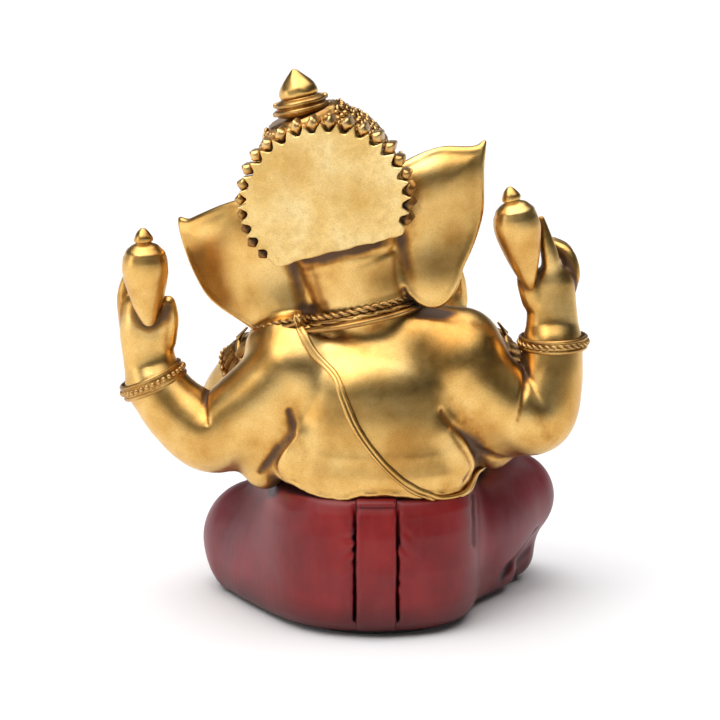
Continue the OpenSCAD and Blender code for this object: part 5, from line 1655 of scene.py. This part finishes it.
def conch(name, t, M):
    prof = [[0.9, 0], [2.6, 3.4], [4.7, 9.4], [6.3, 15.6], [6.75, 19.4], [5.95, 23.2], [4.2, 25.4], [2.6, 26.3], [2.25, 26.7], [2.75, 27.2], [2.6, 28.2], [1.7, 29.7], [0.7, 30.7]]
    P = spline(prof, 5)
    prof = [[0, -0.15], [0.5, -0.1]] + [list(q) for q in P] + [[0, 30.9]]

    def wave(th, z, rr):
        twist = th + z * 0.055
        lipw = np.exp(-((np.mod(twist - 4.3 + math.pi, 2 * math.pi) - math.pi) / 0.16) ** 2)
        body_ = math.exp(-((z - 12) / 9.5) ** 2)
        whorl = 0.018 * np.sin(th + (z - 24) * 2.6) * (1 if z > 22 else 0)
        return 1 - 0.10 * lipw * body_ + 0.05 * np.exp(-((np.mod(twist - 4.75 + math.pi, 2 * math.pi) - math.pi) / 0.2) ** 2) * body_ + whorl
    return piece(name, lathe(prof, 96, wave, M, t), "gold_paint", gain=0.9, ao_from=0.22, ao_gain=1.3)


conch("left_conch", [65.8, 8.4, 84.4], ry(2) @ rx(-4))
conch("right_conch", [-44.6, 8.6, 97], ry(12.5) @ rx(-4))

# bowl with a rolled foot and rim, and five ribbed sweets with one on top
bc = A([17, -46.5, 55.6])
bprof = [[0, 0], [3.2, 0], [3.7, 0.3], [3.9, 0.7], [3.6, 1.1], [4.6, 1.6], [6.4, 2.8], [7.3, 4.3], [7.65, 5.6], [8.0, 6.0], [8.05, 6.4], [7.7, 6.75], [7.2, 6.6], [6.95, 6.1], [6.2, 4.5], [3, 4.4], [0, 4.4]]
bprof = [bprof[0]] + [list(q) for q in spline(bprof[1:-1], 3)] + [bprof[-1]]
piece("sweet_bowl", lathe(bprof, 84, lambda th, z, r: 1 + (0.03 * np.cos(th * 14) if 1.5 < z < 5.4 and r > 4.2 else 0 * th), t=bc), "antique_gold_paint", gain=0.7)


def modak(c, r, turn):
    """A steamed sweet: a round body drawn up in pleats to a point."""
    prof = [[0, -1.0], [0.55, -0.93], [0.9, -0.55], [1.0, -0.1], [0.93, 0.3], [0.72, 0.66], [0.42, 0.98], [0.2, 1.26], [0.08, 1.5], [0, 1.56]]
    prof = [prof[0]] + [list(q) for q in spline(prof[1:-1], 3)] + [prof[-1]]
    return lathe([[a * r, b * r] for a, b in prof], 44, lambda th, z, q: 1 + 0.055 * np.cos((th + turn) * 11 + z * 0.3) * min(1, max(0, (z / r + 0.7))), t=c)


sw = [modak(bc + A([4.1 * math.cos(math.radians(72 * k + 20)), 4.1 * math.sin(math.radians(72 * k + 20)), 4.45 + 2.05]), 2.0, k) for k in range(5)]
sw.append(modak(bc + A([0, 0, 4.45 + 4.2]), 2.1, 0.4))
piece("sweets", sw, "sweet_paint", gain=1.0)


# tusks: the left one whole and curved, the right one broken short
def tusk(name, sd):
    M = HEAD @ rz(sd * 14) @ rx(112)
    L = 13 if sd > 0 else 6.5
    base = head_pt([sd * 9, -19, 2.6])
    n = 14
    s = np.linspace(0, 1, n)
    path = np.stack([0 * s, -1.4 * (s ** 2) * (L / 13), s * L], 1) @ M.T + base
    r = 2.5 + (0.75 - 2.5) * s ** 1.1 if sd > 0 else 2.5 + (1.9 - 2.5) * s
    if sd < 0:
        path = np.concatenate([path, path[-1:] + (path[-1] - path[-2]) * 0.05])
        r = np.append(r, 1.2)
    else:
        path = np.concatenate([path, path[-1:] + (path[-1] - path[-2]) * 0.6])
        r = np.append(r, 0.25)

    def sec(i, s_, th):
        k = 1 + 0.03 * np.sin(th * 9 + i * 0.4)
        return r[i] * np.cos(th) * k, r[i] * np.sin(th) * k
    collar_ = braid(base + A([0, 0, 1.6]) @ M.T, M, 2.35, 0.45, 1, 50, 40, deep=0.02, sides=10)
    return piece(name, [sweep(path, sec, ref=[1, 0.1, 0], n=26)], "ivory_paint", ao_from=0.3)


tusk("left_tusk", 1)
tusk("right_tusk", -1)

# eyes and brow mark
ep = []
for sd in (-1, 1):
    ep.append(ball(head_pt([sd * 9.3, -19.2, 16.2]), [2.05, 2.05, 1.75], HEAD, 28, 18))
piece("eyes", ep, "eye_paint", ao_from=0.9)
bm = HEAD @ rx(96)
piece("brow_mark", lathe([[0, -0.6], [1.2, -0.6], [1.5, -0.3], [1.5, 0.3], [1.25, 0.62], [0.6, 0.85], [0, 0.9]], 32, None, bm, head_pt([0, -20.6, 21.6])), "red_paint", ao_from=0.9)

# ------------------------------------------------------------------ crown
PC = A([0, 12.4, 33.6])
PX, PZ, PT = 24.0, 21.4, 3.4


def rim(a, o=0.5):
    return PC[0] + (PX + o) * math.cos(math.radians(a)), PC[2] + (PZ + o) * math.sin(math.radians(a))


BEADS = [a for a in (-90 + 360 * (k + 0.5) / 32 for k in range(32)) if rim(a)[1] > 18.6 + 1.6]


def plate_outline():
    """The plate's edge: a wavy cut along the bottom, then a notch at each bead with a pointed tooth between two notches."""
    pts = []
    order = sorted(BEADS, key=lambda a: a if a > -90 else a + 360)
    for i, a in enumerate(order):
        if i == 0:
            pts.append(rim(a - 5.6, 0.1))
            pts.append(rim(a - 5.2, 0.5))
        wob = 0.25 * math.sin(i * 2.7)
        deep = -1.35 - 0.3 * hash3(i, 31)
        for u, o in ((-4.4, 0.15), (-3.4, -0.5), (-2.2, deep * 0.82), (-0.8, deep), (0.8, deep), (2.2, deep * 0.82), (3.4, -0.5), (4.4, 0.15)):
            pts.append(rim(a + u + wob, o))
        if i < len(order) - 1:
            pts.append(rim(a + 5.35, 0.72 + 0.35 * hash3(i, 32)))
            pts.append(rim(a + 5.80, 0.72 + 0.35 * hash3(i, 32)))
    pts.append(rim(order[-1] + 5.4, 0.4))
    x0, x1 = pts[-1][0], pts[0][0]
    pts.append((x0 + 0.1, 20.9))
    pts.append((x0 + 0.9, 19.7))
    for u in np.linspace(0.07, 0.95, 22):
        x = x0 + (x1 - x0) * u
        z = 19.35 - 0.9 * max(0, (x - 6) / 16) ** 1.5 + 0.18 * math.sin(x * 0.7) + 0.10 * math.sin(x * 1.9 + 1)
        pts.append((x, z))
    return pts


from mathutils.geometry import delaunay_2d_cdt


def plate():
    O = plate_outline()
    O = np.array(O)
    area2 = (O[:, 0] * np.roll(O[:, 1], -1) - np.roll(O[:, 0], -1) * O[:, 1]).sum()
    if area2 < 0:
        O = O[::-1]
    d = np.roll(O, -1, 0) - np.roll(O, 1, 0)
    nrm = np.stack([d[:, 1], -d[:, 0]], 1)
    nrm /= np.linalg.norm(nrm, axis=1, keepdims=True)
    inner = O - nrm * 0.28
    step = 1.3
    gx, gz = np.meshgrid(np.arange(-25, 25.1, step), np.arange(17, 57, step))
    g = np.stack([gx.ravel(), gz.ravel()], 1)
    keep = []
    for q in g:
        dd = np.hypot(*(O - q).T).min()
        ins = False
        for a, b in zip(O, np.roll(O, -1, 0)):
            if (a[1] > q[1]) != (b[1] > q[1]) and q[0] < (b[0] - a[0]) * (q[1] - a[1]) / (b[1] - a[1]) + a[0]:
                ins = not ins
        if ins and dd > 0.9:
            keep.append(q)
    pts = [Vector(p) for p in inner] + [Vector(p) for p in keep]
    n = len(O)
    res = delaunay_2d_cdt(pts, [(i, (i + 1) % n) for i in range(n)], [list(range(n))], 1, 1e-6)
    P2, tri = res[0], res[2]
    back = np.array([[p.x, PC[1] + PT, p.y] for p in P2])
    wav = 0.10 * noise3(back, 7.0, 11) + 0.05 * noise3(back, 2.6, 12)
    back[:, 1] += np.where(np.arange(len(back)) < n, 0, wav)
    V = list(back)
    base = len(V)
    V += [[o[0], PC[1] + PT - 0.22, o[1]] for o in O]
    V += [[o[0], PC[1], o[1]] for o in O]
    F = []
    for t in tri:
        a, b, c = (back[i] for i in t)
        cr3 = np.cross(b - a, c - a)
        F.append(tuple(t) if cr3[1] > 0 else tuple(reversed(t)))
    for i in range(n):
        j = (i + 1) % n
        F.append((i, base + i, base + j, j))
        F.append((base + i, base + n + i, base + n + j, base + j))
    F.append(tuple(base + n + i for i in range(n)))
    V = A(V) @ HEAD.T + PIVOT
    me_ok = outward(V, F[:1] + F[1:])
    return V, me_ok


pv_, pf_ = plate()
piece("crown_plate", (pv_, pf_), "pale_gold_paint", sharp=38, gain=0.0, ao_from=0.62, ao_gain=0.5)


def bead_rod(a, i):
    """A short nugget, squared and rounded, that lies front to back in its notch and stands a little proud of the teeth."""
    up_ = max(0.0, math.sin(math.radians(a)))
    x, z = rim(a, 0.40 + 0.55 * up_ + 0.16 * math.sin(i * 2.1))
    rt, rr = 1.52 + 0.16 * math.sin(i * 3.1), 1.4 + 0.5 * up_ + 0.14 * math.sin(i * 1.3)
    y0, y1 = 7.9, 15.1 + 0.3 * math.sin(i * 1.7)
    prof = [[0, y0]] + [[q, y0 + (y1 - y0) * s] for s, q in ((0.0, 0.55), (0.04, 0.86), (0.12, 1.0), (0.5, 1.02), (0.84, 1.0), (0.93, 0.9), (0.99, 0.6), (1.02, 0.3))] + [[0, y1 + 0.2]]
    V, F = lathe(prof, 24)
    th = np.arctan2(V[:, 1], V[:, 0])
    sq = 1 + 0.10 * np.cos(4 * th + 0.4 * math.sin(i * 1.9))
    c, q = math.cos(math.radians(a)), math.sin(math.radians(a))
    u, w = V[:, 0] * sq * rr, V[:, 1] * sq * rt
    V = np.stack([u * c - w * q + x, V[:, 2], u * q + w * c + z], 1)
    F = [tuple(reversed(f)) for f in F]
    return V @ HEAD.T + PIVOT, F


def bead_painted_light(V):
    """Painted highlight along the top of the arch, painted shade down the sides and behind the plate."""
    Q = (V - PIVOT) @ HEAD
    a = np.arctan2(Q[:, 2] - PC[2], Q[:, 0])
    r = np.hypot(Q[:, 0] / (PX + 0.9), (Q[:, 2] - PC[2]) / (PZ + 0.9))
    top = np.clip((np.sin(a) - 0.25) / 0.5, 0, 1) * np.clip((r - 0.985) * 22 + 0.4, 0, 1)
    return np.clip(0.34 - 0.8 * np.clip((np.sin(a) + 0.1) / 0.7, 0, 1), 0, 1) + np.clip((0.985 - r) * 9, 0, 0.6), top


piece("crown_beads", [bead_rod(a, i) for i, a in enumerate(BEADS)], "antique_gold_paint", sharp=50, gain=0.5, ao_from=0.6, ao_gain=0.6, tone=bead_painted_light)

# dome, covered with granules and curls
DP = [[17.6, 20], [18.2, 29], [18.9, 36], [19.2, 42], [17.9, 47.5], [15.2, 52], [11.6, 56], [9.4, 60]]
DM = HEAD @ ry(5) @ rx(-6)


def dome_pt(p):
    """A point given on the dome's own axis."""
    return (A(p) - A([0, 0, 28])) @ (ry(5) @ rx(-6)).T + A([0, -3, 28])


dprof = spline(DP, 6)
dparts = []
dome_rows = [q for q in dprof if q[1] > 27.9]
top_local = 58.6
Vd, Fd = lathe([[0, 28.0]] + [[q[0], q[1]] for q in dome_rows if q[1] < top_local] + [[0, top_local]], 120, lambda th, z, r: 1 + 0.012 * np.sin(th * 16) * np.sin(z * 0.9))
Vd = (Vd - A([0, 0, 28])) @ (ry(5) @ rx(-6)).T + A([0, -3, 28])
Vd[:, 1] = np.minimum(Vd[:, 1], 12.2)
Vd[:, 2] = np.maximum(Vd[:, 2], 28.02)
dparts.append((Vd @ HEAD.T + PIVOT, Fd))
rng = 0
for row in range(14):
    z = 37.0 + row * 1.62
    if z > 57.6:
        break
    r = np.interp(z, dprof[:, 1], dprof[:, 0])
    n = int(2 * math.pi * r / 2.15)
    for k in range(n):
        rng += 1
        a = 2 * math.pi * (k + 0.5 * (row % 2)) / n + 0.08 * (hash3(rng, 1) - 0.5)
        size = 0.72 + 0.42 * hash3(rng, 2)
        p = dome_pt([(r + 0.15) * math.cos(a), (r + 0.15) * math.sin(a), z + 0.5 * (hash3(rng, 3) - 0.5)])
        if p[1] > 11.6:
            continue
        if hash3(rng, 4) < 0.45:
            # a small curl
            t = np.linspace(0, 1.55 * math.pi, 9)
            out = A([math.cos(a), math.sin(a), 0.25])
            out = out / np.linalg.norm(out)
            side = unit(np.cross([0, 0, 1], out))
            upv = np.cross(out, side)
            flip = 1 if hash3(rng, 5) > 0.5 else -1
            R = 0.85 + 0.35 * hash3(rng, 6)
            path = [p + side * (R * math.cos(x) * flip) + upv * (R * math.sin(x)) + out * (0.25 + 0.1 * x) for x in t]
            path = A(path) @ HEAD.T + PIVOT
            dparts.append(sweep(path, lambda i, s, th: (0.42 * np.cos(th), 0.42 * np.sin(th)), ref=out @ HEAD.T + 0.01, n=6))
        else:
            dparts.append(ball(p @ HEAD.T + PIVOT, size, n=8, m=5))
piece("crown_dome", dparts, "antique_gold_paint", gain=0.35, ao_from=0.42, ao_gain=1.2)

# band with an upper and a lower roll, and a row of set stones
bprof = [[0, 23.55], [18.7, 23.55], [19.5, 23.9], [19.8, 24.5], [19.3, 25.0], [19.0, 25.5], [19.05, 26.2], [19.5, 26.7], [20.4, 27.0], [20.95, 27.5], [20.8, 27.9], [0, 27.93]]
bprof = [bprof[0]] + [list(q) for q in spline(bprof[1:-1], 3)] + [bprof[-1]]
Vb, Fb = lathe(bprof, 160, lambda th, z, r: 1 + (0.008 * np.sign(np.sin(th * 60)) if (z < 24.9 and r > 19) else 0 * th), t=(0, -3, 0))
Vb[:, 1] = np.minimum(Vb[:, 1], 12.2)
bparts = [(Vb @ HEAD.T + PIVOT, Fb)]
piece("crown_band", bparts, "gold_paint", gain=0.8, ao_from=0.3)

lparts, jparts = [], []
for k in range(-3, 4):
    big = k == 0
    h, w = (19, 4.8) if big else (15 - abs(k), 4.1)
    M = HEAD @ rz(26 * k) @ rx(3)
    t = (A([0, -20.6 - (0.3 if big else 0), 27.98]) @ rz(26 * k).T + A([0, -3, 0])) @ HEAD.T + PIVOT
    lparts.append(petal(h, w, 1.7, M, t, rib=0.45, n=9))
    # setting round each stone, and a row of small drops up the leaf
    jz = 33.4 if big else 32
    jr = 1.5 if big else 1.1
    jc = A([0, -21.5 - (0.4 if big else 0), jz]) @ rz(26 * k).T + A([0, -3, 0])
    J = rz(26 * k) @ rx(90)
    lparts.append(((lambda VF: (VF[0] @ HEAD.T + PIVOT, VF[1]))(braid(jc + A([0, 0.25, 0]) @ rz(26 * k).T, J, jr + 0.35, 0.4, 1, 30, 28, deep=0.02, sides=8))))
    for q in range(3):
        dz = jz + jr + 1.6 + q * 2.3
        if dz < 27.98 + h - 2.5:
            c = A([0, -21.3 - (0.3 if big else 0) + 0.05 * q, dz]) @ rz(26 * k).T + A([0, -3, 0])
            lparts.append(ball(c @ HEAD.T + PIVOT, 0.75 - 0.14 * q, n=10, m=6))
    jparts.append(ball(jc @ HEAD.T + PIVOT, [jr, jr * 0.9, jr * 1.15], HEAD @ rz(26 * k), 22, 14))
for k in range(-5, 6):
    c = A([0, -20.0, 25.6]) @ rz(15.5 * k).T + A([0, -3, 0])
    jparts.append(ball(c @ HEAD.T + PIVOT, 0.95, n=18, m=12))
piece("crown_leaves", lparts, "gold_paint", gain=0.9, ao_from=0.35)
piece("crown_jewels", jparts, "red_stone", ao_from=0.9)

# finial: two rolled rings, the upper one beaded on its far side, and a pointed bud
FM = ry(12)
FT = A([20.8, 4.8, 147.2])
rp = [[0, 0], [6, 0], [6.8, 0.3], [7.9, 1.1], [8.1, 2.1], [7.15, 2.65], [7.05, 2.85], [7.6, 3.35], [7.4, 4.2], [6, 4.8], [5.7, 5.05], [0, 5.2]]
rp = [rp[0]] + [list(q) for q in spline(rp[1:-1], 4)] + [rp[-1]]
fr = [lathe(rp, 96, lambda th, z, r: 1 + 0.012 * np.sin(th * 5 + z) + (0.02 * np.sin(th * 26) * np.clip(-np.sin(th) + 0.2, 0, 1) if z < 2.6 else 0.0 * th), M=FM, t=FT)]
for k in range(19):
    a = math.radians(-185 + k * 10.2)
    fr.append(ball(FT + A([7.3 * math.cos(a), 7.3 * math.sin(a), 3.9]) @ FM.T, 0.78, n=10, m=6))
    fr.append(ball(FT + A([7.9 * math.cos(a + 0.08), 7.9 * math.sin(a + 0.08), 1.5]) @ FM.T, 0.72, n=10, m=6))
piece("finial_rings", fr, "antique_gold_paint", gain=0.9, ao_from=0.6)
bp = [[0, 0], [5.2, 0], [5.5, 0.5], [5.6, 1.3], [5.15, 2.7], [4.2, 4.1], [3.0, 5.4], [1.9, 6.5], [1.1, 7.3], [0.5, 7.75], [0, 7.95]]
bp = [bp[0]] + [list(q) for q in spline(bp[1:-1], 4)] + [bp[-1]]
piece("finial_bud", lathe(bp, 72, lambda th, z, r: 1 + 0.015 * np.sin(th * 3 + 0.5) + 0.01 * np.sin(th * 7 + z), M=FM, t=FT + A([0, 0, 5.25]) @ FM.T), "gold_paint", gain=0.8, ao_from=0.4)

# ------------------------------------------------------------------ camera, light, floor
def area(name, loc, target, size, power, color=(1, 1, 1), size_y=None):
    L = bpy.data.lights.new(name, "AREA")
    L.shape = "RECTANGLE"
    L.size = size
    L.size_y = size_y or size
    L.energy = power
    L.color = color
    o = bpy.data.objects.new(name, L)
    o.location = loc
    o.rotation_euler = (Vector(target) - Vector(loc)).to_track_quat("-Z", "Y").to_euler()
    bpy.context.scene.collection.objects.link(o)
    return o


cam_data = bpy.data.cameras.new("camera")
cam_data.lens = 110.09
cam_data.sensor_width = 36
cam_data.clip_start = 0.01
cam_data.clip_end = 50
cam = bpy.data.objects.new("camera", cam_data)
cam.location = (0.0046, 0.6358, 0.20937)
cam.rotation_euler = (math.radians(78), 0, math.radians(180))
bpy.context.scene.collection.objects.link(cam)
bpy.context.scene.camera = cam

world = bpy.data.worlds.new("studio")
world.use_nodes = True
wn = world.node_tree
wn.nodes.clear()
wo = wn.nodes.new("ShaderNodeOutputWorld")
bg = wn.nodes.new("ShaderNodeBackground")
tc = wn.nodes.new("ShaderNodeTexCoord")
sx = wn.nodes.new("ShaderNodeSeparateXYZ")
wn.links.new(tc.outputs["Generated"], sx.inputs[0])
cr_ = wn.nodes.new("ShaderNodeValToRGB")
els = cr_.color_ramp.elements
while len(els) < 5:
    els.new(0.5)
for e, (p, c) in zip(els, [(0.0, 1.0), (0.13, 0.92), (0.28, 0.06), (0.70, 0.06), (0.86, 3.5)]):
    e.position = p
    e.color = (c / 4, c / 4, c / 4 * 1.01, 1)
wn.links.new(sx.outputs[2], cr_.inputs[0])
# the wall on the right of the picture is darker than the one on the left
ur_ = wn.nodes.new("ShaderNodeValToRGB")
for e, (p, c) in zip(ur_.color_ramp.elements, [(0.0, 0.42), (1.0, 1.0)]):
    e.position = p
    e.color = (c, c, c, 1)
hx_ = wn.nodes.new("ShaderNodeMapRange")
hx_.inputs[1].default_value = -0.9
hx_.inputs[2].default_value = 0.45
wn.links.new(sx.outputs[0], hx_.inputs[0])
wn.links.new(hx_.outputs[0], ur_.inputs[0])
mul = wn.nodes.new("ShaderNodeMix")
mul.data_type = "RGBA"
mul.blend_type = "MULTIPLY"
mul.inputs[0].default_value = 1.0
wn.links.new(cr_.outputs[0], mul.inputs[6])
wn.links.new(ur_.outputs[0], mul.inputs[7])
wn.links.new(mul.outputs[2], bg.inputs[0])
bg.inputs[1].default_value = 4.0
wn.links.new(bg.outputs[0], wo.inputs[0])
bpy.context.scene.world = world
area("key", (0.62, 0.55, 1.0), (0, 0, 0.07), 0.6, 3.0, (1, 0.985, 0.96))
area("fill", (0.95, 0.25, 0.35), (0, 0, 0.07), 0.4, 0.9, (1, 0.99, 0.98))
sc = bpy.context.scene
sc.view_settings.view_transform = "Standard"
sc.view_settings.look = "None"
sc.view_settings.exposure = 0.0

fl = bpy.data.meshes.new("floor")
S = 9.0
fl.from_pydata([(-S, -S, 0), (S, -S, 0), (S, S, 0), (-S, S, 0)], [], [(0, 1, 2, 3)])
fm = bpy.data.materials.new("floor_paper")
fm.use_nodes = True
fb = fm.node_tree.nodes["Principled BSDF"]
fb.inputs["Base Color"].default_value = (0.93, 0.93, 0.935, 1)
fb.inputs["Roughness"].default_value = 0.9
fb.inputs["Specular IOR Level"].default_value = 0.1
fl.materials.append(fm)
floor = bpy.data.objects.new("floor", fl)
bpy.context.scene.collection.objects.link(floor)

# the remaining CAD nodes keep their shape and take the finished materials
for nm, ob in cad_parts.items():
    want = {"felt_pad": "felt"}.get(nm) or ("steel" if "dowel" in nm else None)
    slot_of = {"body_cord": "antique_gold_paint", "neck_cord": "antique_gold_paint", "collar": "antique_gold_paint", "sweets": "sweet_paint",
               "eyes": "eye_paint", "brow_mark": "red_paint", "left_tusk": "ivory_paint", "right_tusk": "ivory_paint", "crown_jewels": "red_stone",
               "crown_plate": "pale_gold_paint", "back_strip": "red_paint", "front_pleat": "red_paint"}
    want = want or slot_of.get(nm) or ("antique_gold_paint" if any(w in nm for w in ("bangle", "anklet", "armlet", "bowl", "bead", "dome", "band", "ring", "leaves", "pendant")) else "gold_paint")
    if ob.type == "MESH":
        for s_ in ob.material_slots:
            s_.material = MATS[want]
